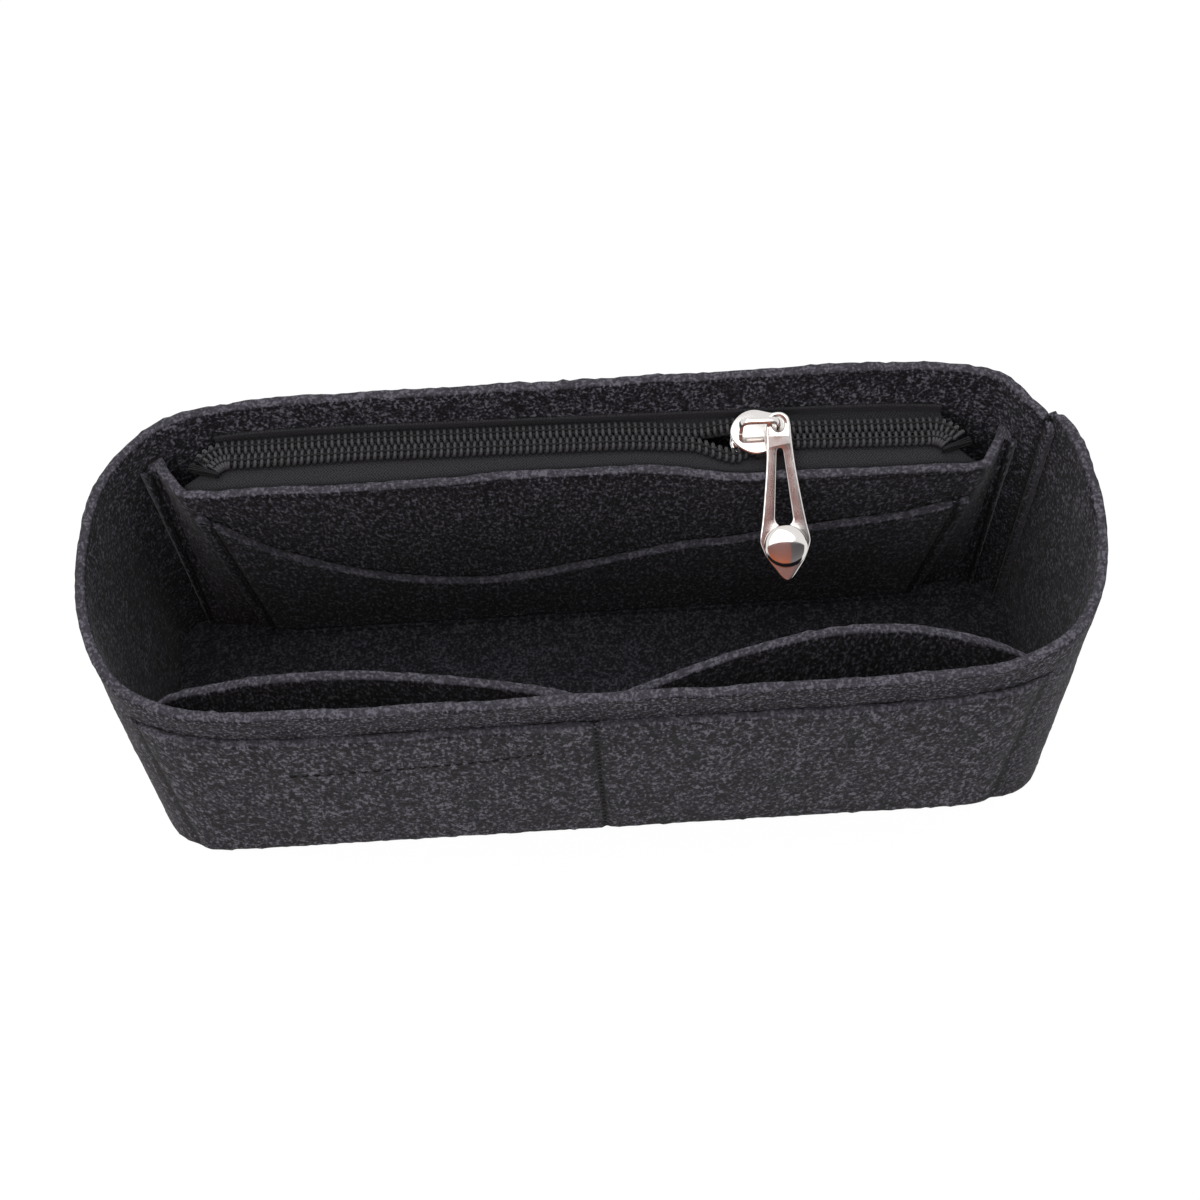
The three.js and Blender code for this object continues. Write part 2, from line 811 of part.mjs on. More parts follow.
// Slider: a group in the zip's frame. The slider's own u runs along the chain, with its nose to the left.
const sliderGroup = new THREE.Group();
sliderGroup.position.x = sliderAt;
zipFrame.add(sliderGroup);

const plateLow = coilLiftGap + coilHeight + runningGap;
const plateTop = plateLow + plateThick;

// The plate's outline: a round nose, widest before the middle, and a narrower tail with small corners.
const noseShare = 0.97;
const noseSideShare = 0.5;
const shoulderShare = 0.55;
const widestShare = 0.12;
const waistShare = 0.2;
const neckShare = 0.35;
const tailShare = 0.85;
const tailSideShare = 0.8;

function plateShape(inset) {
  const half = sliderLength / 2 - inset;
  const wide = sliderWidth / 2 - inset;
  const tail = tailWidth / 2 - inset;
  const nose = [half * noseShare, wide * noseSideShare];
  const shoulder = half * shoulderShare;
  const widest = half * widestShare;
  const waist = half * waistShare;
  const neck = half * neckShare;
  const shape = new THREE.Shape();
  shape.moveTo(-half, 0);
  shape.bezierCurveTo(-nose[0], -nose[1], -shoulder, -wide, -widest, -wide);
  shape.bezierCurveTo(waist, -wide, neck, -tail, half * tailShare, -tail);
  shape.quadraticCurveTo(half, -tail, half, -tail * tailSideShare);
  shape.lineTo(half, tail * tailSideShare);
  shape.quadraticCurveTo(half, tail, half * tailShare, tail);
  shape.bezierCurveTo(neck, tail, waist, wide, -widest, wide);
  shape.bezierCurveTo(-shoulder, wide, -nose[0], nose[1], -half, 0);
  return shape;
}

function slab(shape, low, high, curveSegments = 6) {
  const settings = { depth: high - low, bevelEnabled: false, curveSegments };
  const geometry = new THREE.ExtrudeGeometry(shape, settings);
  geometry.translate(0, 0, low);
  return geometry;
}

// The wedge between the plates, and the guides that hold the rows together, as shares of the half length.
const wedgeNoseShare = 0.9;
const wedgeSideShare = 0.7;
const wedgeHeelShare = 0.35;
const guideStartShare = 0.15;
const guideInnerShare = 0.3;
const guideOuterShare = 0.45;
const guideEndShare = 0.96;

function sliderBody() {
  const half = sliderLength / 2;
  const top = slab(plateShape(0), plateLow, plateTop);
  const floor = -tapeFelt - runningGap;
  const bottom = slab(plateShape(guideThick / 2), floor - plateThick, floor);
  const wedge = new THREE.Shape();
  const nose = -half * wedgeNoseShare;
  const side = -half * wedgeSideShare;
  const heel = -half * wedgeHeelShare;
  wedge.moveTo(nose, 0);
  wedge.quadraticCurveTo(side, -wedgeWidth / 2, heel, -wedgeWidth / 2);
  wedge.lineTo(0, 0);
  wedge.lineTo(heel, wedgeWidth / 2);
  wedge.quadraticCurveTo(side, wedgeWidth / 2, nose, 0);
  const post = slab(wedge, floor - overrunLength, plateLow + overrunLength);
  const chainHalf = chainGap / 2 + coilWidth + guideGap;
  const guides = [-1, 1].map((hand) => {
    const shape = new THREE.Shape();
    shape.moveTo(-half * guideStartShare, hand * (chainHalf + throatPartingWidth));
    shape.lineTo(half * guideInnerShare, hand * chainHalf);
    shape.lineTo(half * guideEndShare, hand * chainHalf);
    shape.lineTo(half * guideEndShare, hand * (chainHalf + guideThick));
    shape.lineTo(half * guideOuterShare, hand * (chainHalf + guideThick));
    shape.lineTo(-half * guideStartShare, hand * (sliderWidth / 2 - runningGap));
    shape.closePath();
    return slab(shape, coilLiftGap, plateLow + overrunLength);
  });
  return joined(top, bottom, post, ...guides);
}

// Crown: a flat band bent into a bridge along the plate. The pull hangs on its right leg.
const crownRight = sliderLength / 2 - legInsetLength;
const legMiddle = crownRight - crownThick / 2;

function sliderCrown() {
  const left = -crownLeftLength;
  const bend = crownBendRadius;
  const innerBend = crownThick;
  const outside = crownInsideHeight + crownThick;
  const shape = new THREE.Shape();
  shape.moveTo(left, crownGap);
  shape.lineTo(left, outside - bend);
  shape.quadraticCurveTo(left, outside, left + bend, outside);
  shape.lineTo(crownRight - bend, outside);
  shape.quadraticCurveTo(crownRight, outside, crownRight, outside - bend);
  shape.lineTo(crownRight, crownGap);
  shape.lineTo(crownRight - crownThick, crownGap);
  shape.lineTo(crownRight - crownThick, crownInsideHeight - innerBend);
  shape.quadraticCurveTo(
    crownRight - crownThick,
    crownInsideHeight,
    crownRight - crownThick - innerBend,
    crownInsideHeight,
  );
  shape.lineTo(left + crownThick + innerBend, crownInsideHeight);
  const leftInside = left + crownThick;
  shape.quadraticCurveTo(leftInside, crownInsideHeight, leftInside, crownInsideHeight - innerBend);
  shape.lineTo(left + crownThick, crownGap);
  shape.closePath();
  const geometry = slab(shape, -crownWidth / 2, crownWidth / 2);
  geometry.rotateX(Math.PI / 2);
  geometry.translate(0, 0, plateTop);
  return geometry;
}

// Pull: a long teardrop frame, drawn with its length along -Y from the pivot, then laid down by its angle.
const pullShares = [
  [0.03, 1],
  [0.19, 0.982],
  [0.48, 0.921],
  [0.73, 0.863],
  [0.9, 0.8],
  [1, 0.74],
  [0.88, 0.617],
  [0.77, 0.495],
  [0.58, 0.251],
  [0.51, 0.1],
];

const pullHeadShares = [
  [0.48, 0.1],
  [0.4, 0.62],
  [0.2, 0.94],
  [0, 1],
];

// The opening is a long drop: narrow and round at the eye's end, wide and round above the stud.
const openingStartShare = 0.175;
const openingStopShare = 0.6;
const openingNarrowShare = 0.06;
const openingRoundShare = 0.172;
const studAtShare = 0.782;
const studAt = pullLength * studAtShare;

function pullShape() {
  const right = pullShares.map(([w, d]) => new THREE.Vector2((w * pullWidth) / 2, -d * pullLength));
  const eye = pullHeadShares.map(([w, d]) => new THREE.Vector2((w * pullWidth) / 2, d * pullHeadLength));
  const side = [...right, ...eye];
  const left = side
    .slice(0, -1)
    .reverse()
    .map((point) => new THREE.Vector2(-point.x, point.y));
  const shape = new THREE.Shape();
  shape.moveTo(side[0].x, side[0].y);
  shape.splineThru([...side.slice(1), ...left]);
  const eyeHole = new THREE.Path().absellipse(0, 0, eyeWidth / 2, eyeLength / 2, 0, 2 * Math.PI);
  const narrow = pullWidth * openingNarrowShare;
  const round = pullWidth * openingRoundShare;
  const start = -pullLength * openingStartShare;
  const stop = -pullLength * openingStopShare;
  const opening = new THREE.Path();
  opening.moveTo(narrow, start);
  opening.absarc(0, start, narrow, 0, Math.PI, false);
  opening.lineTo(-round, stop);
  opening.absarc(0, stop, round, Math.PI, 2 * Math.PI, false);
  opening.lineTo(narrow, start);
  const shankHole = new THREE.Path();
  shankHole.absarc(0, -studAt, studShankRadius + seamGap, 0, 2 * Math.PI, false);
  shape.holes.push(eyeHole, opening, shankHole);
  return shape;
}

const pullGroup = new THREE.Group();
pullGroup.position.set(legMiddle, 0, plateTop + pivotHeight);
pullGroup.rotation.x = THREE.MathUtils.degToRad(pullLieAngle);
sliderGroup.add(pullGroup);

function zipPull() {
  return slab(pullShape(), -pullThick / 2, pullThick / 2, 4);
}

// Stud: a domed head on the face of the pull, with a shank through it and a flat head behind.
function pullStud() {
  const face = pullThick / 2 + seamGap / 2;
  const back = -pullThick / 2 - seamGap / 2;
  const profile = [
    new THREE.Vector2(0, back - studHeadThick),
    new THREE.Vector2(studHeadRadius, back - studHeadThick),
    new THREE.Vector2(studHeadRadius, back),
    new THREE.Vector2(studShankRadius, back),
    new THREE.Vector2(studShankRadius, face),
  ];
  const steps = 5;
  for (let i = 0; i <= steps; i++) {
    const angle = (Math.PI / 2) * (i / steps);
    profile.push(new THREE.Vector2(studRadius * Math.cos(angle), face + studHeight * Math.sin(angle)));
  }
  const geometry = new THREE.LatheGeometry(profile, 20);
  geometry.rotateX(Math.PI / 2);
  geometry.translate(0, -studAt, 0);
  return geometry;
}

// Thread: one row of sewing along points that lie on a surface, with the direction that leaves it.
function threadRow(points, outs, loop = false, lift = threadLiftGap) {
  const count = points.length;
  const rings = points.map((point, i) => {
    const before = loop ? points[(i + count - 1) % count] : points[Math.max(i - 1, 0)];
    const after = loop ? points[(i + 1) % count] : points[Math.min(i + 1, count - 1)];
    const along = after.clone().sub(before).normalize();
    const across = along.cross(outs[i]).normalize();
    const seat = point.clone().addScaledVector(outs[i], lift);
    return [
      seat.clone().addScaledVector(across, threadWidth / 2),
      seat.clone().addScaledVector(outs[i], threadHeight),
      seat.clone().addScaledVector(across, -threadWidth / 2),
    ];
  });
  return loft(rings, loop);
}

// A row up a face, from a low to a high level, where spot gives the point and out the direction at a level.
function risingRow(low, high, spot, out) {
  const steps = Math.max(Math.ceil((high - low) / threadStepLength), 2);
  const levels = Array.from({ length: steps + 1 }, (_, i) => THREE.MathUtils.lerp(low, high, i / steps));
  return threadRow(levels.map(spot), levels.map(out));
}

function lapRow(outside) {
  const along = lapAt + lapWidth / 2;
  const depth = outside ? 0 : 2 * wallFelt + seamGap;
  const low = innerFoot + seamEndGap;
  return risingRow(
    low,
    wallHeight - lapCornerRadius - seamInsetWidth,
    (level) => wallPoint(along, level, depth),
    (level) => wallInward(along, level).multiplyScalar(outside ? -1 : 1),
  );
}

function outerSeamRow(side) {
  const along = (level) => {
    if (side === 0) return (-innerCentreHalf * level) / wallHeight;
    return side < 0 ? -outerLeftEnd + seamInsetWidth : outerRightEnd - seamInsetWidth;
  };
  return risingRow(
    outerFootGap + seamInsetWidth,
    outerPocketHeight - seamInsetWidth / 2,
    (level) => wallPoint(along(level), level, -seamGap - outerFelt),
    (level) => wallInward(along(level), level).multiplyScalar(-1),
  );
}

function innerSeamRow(side) {
  const seam = innerSeams[side + 1];
  const along = (seam[0] + seam[1]) / 2;
  return risingRow(
    innerFoot + seamEndGap,
    innerPocketHeight - seamInsetWidth / 2,
    (level) => wallPoint(along, level, innerPocketDepth(along, level) + pocketFelt),
    (level) => wallInward(along, level),
  );
}

// The back tape's row is seen on the outside of the back wall.
function tapeRowBack() {
  const count = 24;
  const middle = perimeter / 2;
  const points = [];
  const outs = [];
  for (let i = 0; i <= count; i++) {
    const along = middle + THREE.MathUtils.lerp(zipLeftHalf, -zipRightHalf, i / count);
    const x = wallPoint(along, zipLevelHeight, 0).x;
    const level = zipPoint(x, 0, tapeRiseHeight / 2).z;
    points.push(wallPoint(along, level, 0));
    outs.push(wallInward(along, level).multiplyScalar(-1));
  }
  return threadRow(points, outs);
}

// A short row of stitches inside the left outer compartment, in shares of its width and the pocket's height.
const shortRowShares = [
  [-0.686, 0.735],
  [-0.501, 0.748],
  [-0.317, 0.763],
  [-0.211, 0.785],
  [-0.123, 0.82],
];

function shortRow() {
  const spots = shortRowShares.map(([acrossShare, levelShare]) => {
    return [acrossShare * outerLeftEnd, levelShare * outerPocketHeight];
  });
  const points = spots.map(([along, level]) => wallPoint(along, level, -seamGap - outerFelt));
  const outs = spots.map(([along, level]) => wallInward(along, level).multiplyScalar(-1));
  return threadRow(points, outs, false, 2 * threadLiftGap);
}

function tapeRowFront() {
  const marginColumns = 4;
  const rise = 1 - seamInsetWidth / zipLevelHeight;
  const shares = [];
  for (let i = marginColumns; i <= panelColumns - marginColumns; i++) shares.push(i / panelColumns);
  const points = shares.map((share) => panelPoint(share, rise, pocketFelt / 2));
  const outs = shares.map((share, i) => panelPoint(share, rise, pocketFelt).sub(points[i]).normalize());
  return threadRow(points, outs);
}

function flangeRow(side) {
  const points = [];
  const outs = [];
  for (const share of flangeRowShares) {
    const along = side * (THREE.MathUtils.lerp(meetFoot, meetTop, share) + flangeSeamShare * flangeWidth);
    const level = THREE.MathUtils.lerp(innerFoot, panelEndLevel(side), share);
    points.push(wallPoint(along, level, insideDepth(along) + seamGap + pocketFelt));
    outs.push(wallInward(along, level));
  }
  return threadRow(points, outs, false, 2 * threadLiftGap);
}

function waveRow(side) {
  const across = side < 0 ? waveSeamShare : 1 - waveSeamShare;
  return risingRow(
    innerFoot + seamEndGap,
    waveTop(across) - seamInsetWidth,
    (level) => wavePoint(across, level, pocketFelt),
    (level) => wavePoint(across, level, 2 * pocketFelt).sub(wavePoint(across, level, pocketFelt)).normalize(),
  );
}

// The base seam runs round the corner between the base and what stands on its edge.
function baseRow() {
  const inset = wallFelt + seamGap + threadWidth;
  const x = footLength / 2 - inset;
  const front = -footWidth / 2 + inset + seamGap + pocketFelt;
  const back = footWidth / 2 - inset - 2 * (seamGap + pocketFelt);
  const corner = baseSeamRadius;
  const arcs = [
    [x - corner, front + corner, -Math.PI / 2],
    [x - corner, back - corner, 0],
    [-x + corner, back - corner, Math.PI / 2],
    [-x + corner, front + corner, Math.PI],
  ];
  const points = [];
  const steps = 5;
  for (const [cx, cy, start] of arcs) {
    for (let i = 0; i <= steps; i++) {
      const angle = start + ((Math.PI / 2) * i) / steps;
      points.push(new THREE.Vector3(cx + corner * Math.cos(angle), cy + corner * Math.sin(angle), baseFelt));
    }
  }
  return threadRow(points, points.map(() => new THREE.Vector3(0, 0, 1)), true);
}

// The object
addPiece("wall_band", wallBand(), wallFeltLook);
addPiece("base_panel", basePanel(), wallFeltLook);
addPiece("outer_pocket_panel", outerPocketPanel(), pocketFeltLook);
addPiece("front_inner_pocket", frontInnerPocket(), pocketFeltLook);
addPiece("zip_pocket_panel", zipPocketPanel(), pocketFeltLook);
addPiece("wave_pocket_panel", wavePocketPanel(), pocketFeltLook);
addPiece("zip_tape_back", zipTapeBack(), tapeLook);
addPiece("zip_tape_front", zipTapeFront(), tapeLook);
addPiece("zip_coil_back", zipCoil(1), coilLook);
addPiece("zip_coil_front", zipCoil(-1), coilLook);
addPiece("zip_stop_left", zipStop(chainLeft), tapeLook);
addPiece("zip_stop_right", zipStop(chainRight), tapeLook);
addPiece("slider_body", sliderBody(), nickelLook, sliderGroup);
addPiece("slider_crown", sliderCrown(), nickelLook, sliderGroup);
addPiece("zip_pull", zipPull(), nickelLook, pullGroup);
addPiece("pull_stud", pullStud(), nickelLook, pullGroup);
addPiece("lap_thread_outer", lapRow(true), threadLook);
addPiece("lap_thread_inner", lapRow(false), threadLook);
["left", "centre", "right"].forEach((place, i) => {
  addPiece("outer_seam_thread_" + place, outerSeamRow(i - 1), threadLook);
  addPiece("inner_seam_thread_" + place, innerSeamRow(i - 1), threadLook);
});
addPiece("outer_short_row_thread", shortRow(), threadLook);
addPiece("tape_thread_back", tapeRowBack(), threadLook);
addPiece("tape_thread_front", tapeRowFront(), threadLook);
addPiece("flange_thread_left", flangeRow(-1), threadLook);
addPiece("flange_thread_right", flangeRow(1), threadLook);
addPiece("wave_thread_left", waveRow(-1), threadLook);
addPiece("wave_thread_right", waveRow(1), threadLook);
addPiece("base_seam_thread", baseRow(), threadLook);

export default object;
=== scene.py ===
"""The looks of the purse organizer insert: a felt tub with sewn pockets, a coil zip and a nickel slider.

Points are worked out in millimetres in the part's own frame, and become metres when a mesh is made.
"""

import bmesh
import bpy
import numpy as np
from mathutils import Matrix


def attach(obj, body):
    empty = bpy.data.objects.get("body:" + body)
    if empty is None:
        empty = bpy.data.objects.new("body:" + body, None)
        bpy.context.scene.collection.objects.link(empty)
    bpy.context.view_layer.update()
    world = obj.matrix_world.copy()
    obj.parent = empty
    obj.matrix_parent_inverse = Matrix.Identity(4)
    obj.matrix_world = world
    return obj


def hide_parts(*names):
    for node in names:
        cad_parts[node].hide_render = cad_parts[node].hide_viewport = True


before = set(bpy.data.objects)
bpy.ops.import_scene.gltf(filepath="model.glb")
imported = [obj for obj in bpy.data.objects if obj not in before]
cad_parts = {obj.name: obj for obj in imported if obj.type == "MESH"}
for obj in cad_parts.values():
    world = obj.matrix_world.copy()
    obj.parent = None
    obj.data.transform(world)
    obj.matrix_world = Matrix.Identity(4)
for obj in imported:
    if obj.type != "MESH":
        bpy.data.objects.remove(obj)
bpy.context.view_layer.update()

# The view
# The camera stands in front and looks steeply down into the tub, turned and tilted a little as if held by
# hand, through a lens a little longer than normal.
MM = 0.001
VIEW_YAW = -0.02693
VIEW_RISE = 1.12043
VIEW_ROLL = -0.03547
VIEW_DISTANCE = 499.4
VIEW_TARGET = np.array([1.74, 9.11, 47.5])
LENS = 57.54
SENSOR = 36.0
NEAR_AND_FAR = (0.01, 50.0)


def look_from(yaw, rise, roll):
    """The camera's axes: right, up and back. Back points at the camera, and roll turns the other two."""
    back = np.array([np.sin(yaw) * np.cos(rise), -np.cos(yaw) * np.cos(rise), np.sin(rise)])
    right = np.cross(-back, [0, 0, 1])
    right /= np.linalg.norm(right)
    up = np.cross(right, -back)
    turned = right * np.cos(roll) + up * np.sin(roll)
    return turned, up * np.cos(roll) - right * np.sin(roll), back


def new_object(name, data):
    """Puts an object with this data into the scene."""
    thing = bpy.data.objects.new(name, data)
    bpy.context.scene.collection.objects.link(thing)
    return thing


def place_camera():
    """The camera stands at the target plus its back axis times the view's distance."""
    axes = np.stack(look_from(VIEW_YAW, VIEW_RISE, VIEW_ROLL), axis=1)
    matrix = np.eye(4)
    matrix[:3, :3] = axes
    matrix[:3, 3] = (VIEW_TARGET + axes[:, 2] * VIEW_DISTANCE) * MM
    data = bpy.data.cameras.new("camera")
    data.lens = LENS
    data.sensor_width = SENSOR
    data.clip_start, data.clip_end = NEAR_AND_FAR
    camera = new_object("camera", data)
    camera.matrix_world = Matrix(matrix.tolist())
    bpy.context.scene.camera = camera


place_camera()

# Wall strip
# One long strip of stiff needled felt stands on edge round the base and makes all four sides. Its ends lap
# at the right, near the back, with round top corners. Its cut edges are soft and a little lighter, partly
# from their pale fibre ends and partly from a painted highlight where they face the light.
FOOT_LENGTH = 240.0
FOOT_WIDTH = 70.0
FOOT_CORNER = 13.0
RIM_LENGTH = 244.4
RIM_WIDTH = 86.8
RIM_SHIFT = 3.9
WALL_HEIGHT = 95.0
RIM_END_POWER = 9
RIM_SIDE_POWER = 2.1
WALL_FELT = 2.5
SEAM_GAP = 0.3
LAP_WIDTH = 6.0
LAP_RAMP = 12.0
LAP_CORNER = 7.0
LAP_AT_SHARE = 0.291
OUTLINE_COUNT = 4000
HALVINGS = 40
NORMAL_SHARE = 0.0008
CUT_EDGE = 0.75
CUT_EDGE_STEPS = 3
CUT_EDGE_SPREAD = 1.5
CUT_EDGE_ROOM = 1.3 * CUT_EDGE
FELT_GRID = 1.6
LUMP_HEIGHT, LUMP_SIZE = 0.07, 3.0
LUMP_WAVES, LUMP_SPREAD = 30, (0.6, 1.7)
EDGE_LUMP_HEIGHT = 0.1
PIECE_SHIFT = 700.0
WAVE_HEIGHT, WAVE_SIZE = 0.16, 20.0
RIM_WAVE, RIM_WAVE_SIZE = 0.3, 26.0
THREAD_GROOVE, THREAD_GROOVE_WIDTH = 0.6, 1.0
GROOVE_REACH, GROOVE_COLUMNS = 1.8, 9
CORNER_STEPS = 9
FELT_TALL_SHARE, WALL_TALL_SHARE = 0.5, 0.8
MERGE_DISTANCE = 0.001


class Outline:
    """A closed outline of points that lie close together, read at a share of the way round it."""

    def __init__(self, points):
        self.points = np.vstack([points, points[:1]])
        self.places = np.append(0, np.cumsum(np.hypot(*np.diff(self.points, axis=0).T)))
        self.length = self.places[-1]

    def point(self, share):
        """The point at a share of the whole way round, on the straight line between its two neighbours."""
        place = np.mod(share, 1) * self.length
        return np.stack([np.interp(place, self.places, self.points[:, k]) for k in (0, 1)], -1)

    def inward(self, share):
        """The direction into the tub: the outline's own direction, turned a quarter to the left."""
        gap = self.point(share + NORMAL_SHARE) - self.point(share - NORMAL_SHARE)
        turned = np.stack([-gap[..., 1], gap[..., 0]], -1)
        return turned / np.linalg.norm(turned, axis=-1, keepdims=True)


def round_oblong(length, width, corner):
    """Four quarter circles joined by straight runs, from the middle of the front round to the right."""
    turn = np.radians(np.linspace(0, 90, OUTLINE_COUNT // 4))
    points = [[[0, -width / 2]]]
    for k, (right, back) in enumerate([(1, -1), (1, 1), (-1, 1), (-1, -1)]):
        angle = turn + np.radians(90 * (k - 1))
        x = right * (length / 2 - corner) + corner * np.cos(angle)
        y = back * (width / 2 - corner) + corner * np.sin(angle)
        points.append(np.stack([x, y], -1))
    return np.vstack(points)


def full_oval(length, width, shift):
    """The curve |x/a|^9 + |y/b|^2.1 = 1, shifted back in y. Each direction's radius is found by halving."""
    angle = np.linspace(-np.pi / 2, 3 * np.pi / 2, OUTLINE_COUNT, endpoint=False)
    near, far = np.zeros(OUTLINE_COUNT), np.full(OUTLINE_COUNT, 2.0)
    for _ in range(HALVINGS):
        middle = (near + far) / 2
        across = np.abs(middle * np.cos(angle)) ** RIM_END_POWER
        inside = across + np.abs(middle * np.sin(angle)) ** RIM_SIDE_POWER < 1
        near, far = np.where(inside, middle, near), np.where(inside, far, middle)
    x = length / 2 * near * np.cos(angle)
    return np.stack([x, shift + width / 2 * near * np.sin(angle)], -1)


foot = Outline(round_oblong(FOOT_LENGTH, FOOT_WIDTH, FOOT_CORNER))
rim = Outline(full_oval(RIM_LENGTH, RIM_WIDTH, RIM_SHIFT))
LAP_AT = LAP_AT_SHARE * foot.length


def wall_point(along, height, depth):
    """The wall leans from the foot's outline to the rim's. A depth is measured along its inward direction."""
    along, height, depth = np.broadcast_arrays(along, height, depth)
    share, rise = along / foot.length, (height / WALL_HEIGHT)[..., None]
    point = foot.point(share) * (1 - rise) + rim.point(share) * rise
    inward = foot.inward(share) * (1 - rise) + rim.inward(share) * rise
    inward /= np.linalg.norm(inward, axis=-1, keepdims=True)
    return np.concatenate([point + inward * depth[..., None], height[..., None]], -1)


def ease(share):
    """The smooth step 3s^2 - 2s^3 between 0 and 1."""
    share = np.clip(share, 0, 1)
    return share * share * (3 - 2 * share)


def lap_depth(place):
    """How deep the strip's outer face lies below the outline: its first end lies inside the last one."""
    start = LAP_WIDTH + LAP_CORNER / 2
    return (WALL_FELT + SEAM_GAP) * (1 - ease((place - start) / LAP_RAMP))


def inside_depth(along):
    """The depth of the wall's inner face."""
    return lap_depth(np.mod(along - LAP_AT, foot.length)) + WALL_FELT


def lumps(x, y, size, seed):
    """A smooth random height from about -1 to 1: a sum of sine waves near size long, in all directions."""
    random = np.random.default_rng(seed)
    total = 0
    for _ in range(LUMP_WAVES):
        angle, phase = random.uniform(0, 2 * np.pi, 2)
        rate = 2 * np.pi / (size * random.uniform(*LUMP_SPREAD))
        total = total + np.sin(rate * (x * np.cos(angle) + y * np.sin(angle)) + phase)
    return total / np.sqrt(LUMP_WAVES)


def slab(columns, low, high, thick):
    """Flat measures of a cut piece: along, up and through, in a closed ring of points for each column.

    A ring goes up the first face, over the top edge and down the second face, with quarter circles at the
    four edges. At both ends the ring shrinks along a quarter circle too. It also gives each point's way out
    of the felt, upwards and through it, and how much the point lies on a cut edge.
    """
    turn = np.linspace(0, np.pi / 2, CUT_EDGE_STEPS + 1)
    away, inset = CUT_EDGE * (1 - np.sin(turn)), CUT_EDGE * (1 - np.cos(turn))
    inner = columns[(columns > columns[0] + CUT_EDGE_ROOM) & (columns < columns[-1] - CUT_EDGE_ROOM)]
    along = np.concatenate([columns[0] + away[::-1], inner, columns[-1] - away])
    inset = np.concatenate([inset[::-1], np.zeros(len(inner)), inset])[:, None]
    corner = CUT_EDGE - inset
    bottom, top = low(along)[:, None] + inset + corner, high(along)[:, None] - inset - corner
    rows = max(int(np.max(top - bottom) / FELT_GRID), 2)
    face = np.linspace(0, 1, rows + 1)[1:-1]
    share = np.concatenate([0 * turn, face, 0 * turn + 1])
    out_up = np.concatenate([-np.sin(turn[::-1]), 0 * face, np.sin(turn)])
    out_through = np.concatenate([-np.cos(turn[::-1]), 0 * face - 1, -np.cos(turn)])
    share, out_up = np.append(share, share[::-1]), np.append(out_up, out_up[::-1])
    second = np.repeat([0, 1], len(out_through))
    out_through = np.append(out_through, -out_through[::-1])
    up = bottom + (top - bottom) * share + corner * out_up
    through = CUT_EDGE + (thick - 2 * CUT_EDGE) * second + corner * out_through
    cut = np.minimum(CUT_EDGE_SPREAD * np.maximum(np.abs(out_up), inset / CUT_EDGE), 1)
    along, out_up, out_through, cut = (
        np.broadcast_to(a, up.shape) for a in (along[:, None], out_up, out_through, cut)
    )
    return along, up, through, out_up, out_through, cut


def grid_faces(rings, sides, loop=False):
    """Quads between neighbouring rings, and the two end rings closed like the rungs of a ladder."""
    ring = np.arange(rings if loop else rings - 1)[:, None] * sides
    following = (ring + sides) % (rings * sides)
    here, after = np.arange(sides), (np.arange(sides) + 1) % sides
    quads = np.stack([ring + here, ring + after, following + after, following + here], -1).reshape(-1, 4)
    if loop:
        return quads
    a = np.arange(sides // 2 - 1)
    rungs = np.stack([a, sides - 1 - a, sides - 2 - a, a + 1], -1)
    return np.vstack([quads, rungs, rungs[:, ::-1] + (rings - 1) * sides])


def make_mesh(name, shells, measures=None):
    """Joins closed shells of (points, faces) into one mesh with its faces turned out and its poles merged.

    Measures are three flat ones and the cut edge's share at each point, kept as attributes for the looks.
    Where a seam draws the felt in, that share drops below 0, and the felt look paints shade there.
    """
    points = np.vstack([np.reshape(p, (-1, 3)) for p, _ in shells]) * MM
    faces, first = [], 0
    for shell_points, shell_faces in shells:
        faces.append(np.asarray(shell_faces) + first)
        first += np.size(shell_points) // 3
    mesh = bpy.data.meshes.new(name)
    mesh.from_pydata(points.tolist(), [], np.vstack(faces).tolist())
    if measures is not None:
        measures = np.reshape(measures, (-1, 4)).astype(np.float32)
        layer = mesh.attributes.new("felt_at", "FLOAT_VECTOR", "POINT")
        layer.data.foreach_set("vector", (measures[:, :3] * MM).ravel())
        layer = mesh.attributes.new("cut_edge", "FLOAT", "POINT")
        layer.data.foreach_set("value", measures[:, 3].copy())
    work = bmesh.new()
    work.from_mesh(mesh)
    bmesh.ops.remove_doubles(work, verts=work.verts, dist=MERGE_DISTANCE * MM)
    bmesh.ops.recalc_face_normals(work, faces=work.faces)
    work.to_mesh(mesh)
    work.free()
    mesh.shade_smooth()
    return mesh


def add_piece(name, mesh, look, body, nodes):
    """Puts a mesh into the scene as a piece that rides on a body and stands for its CAD nodes."""
    piece = new_object(name, mesh)
    mesh.materials.append(look)
    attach(piece, body)
    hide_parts(*nodes)
    return piece


def groove(distance):
    """How much a tight thread at this distance draws the felt in: a bell curve."""
    return THREAD_GROOVE * np.exp(-((distance / THREAD_GROOVE_WIDTH) ** 2))


def with_seams(columns, *seams):
    """Adds columns close beside each seam, so that its groove has a shape, and drops the even ones there."""
    near = np.linspace(-GROOVE_REACH, GROOVE_REACH, GROOVE_COLUMNS) * THREAD_GROOVE_WIDTH
    extra = np.concatenate([seam + near for seam in seams])
    extra = extra[(extra > columns[0] + 2 * CUT_EDGE) & (extra < columns[-1] - 2 * CUT_EDGE)]
    apart = np.min(np.abs(columns[:, None] - np.array(seams)), axis=1)
    kept = columns[(apart > 2 * THREAD_GROOVE_WIDTH) | (columns == columns[0]) | (columns == columns[-1])]
    return np.sort(np.concatenate([kept, extra]))


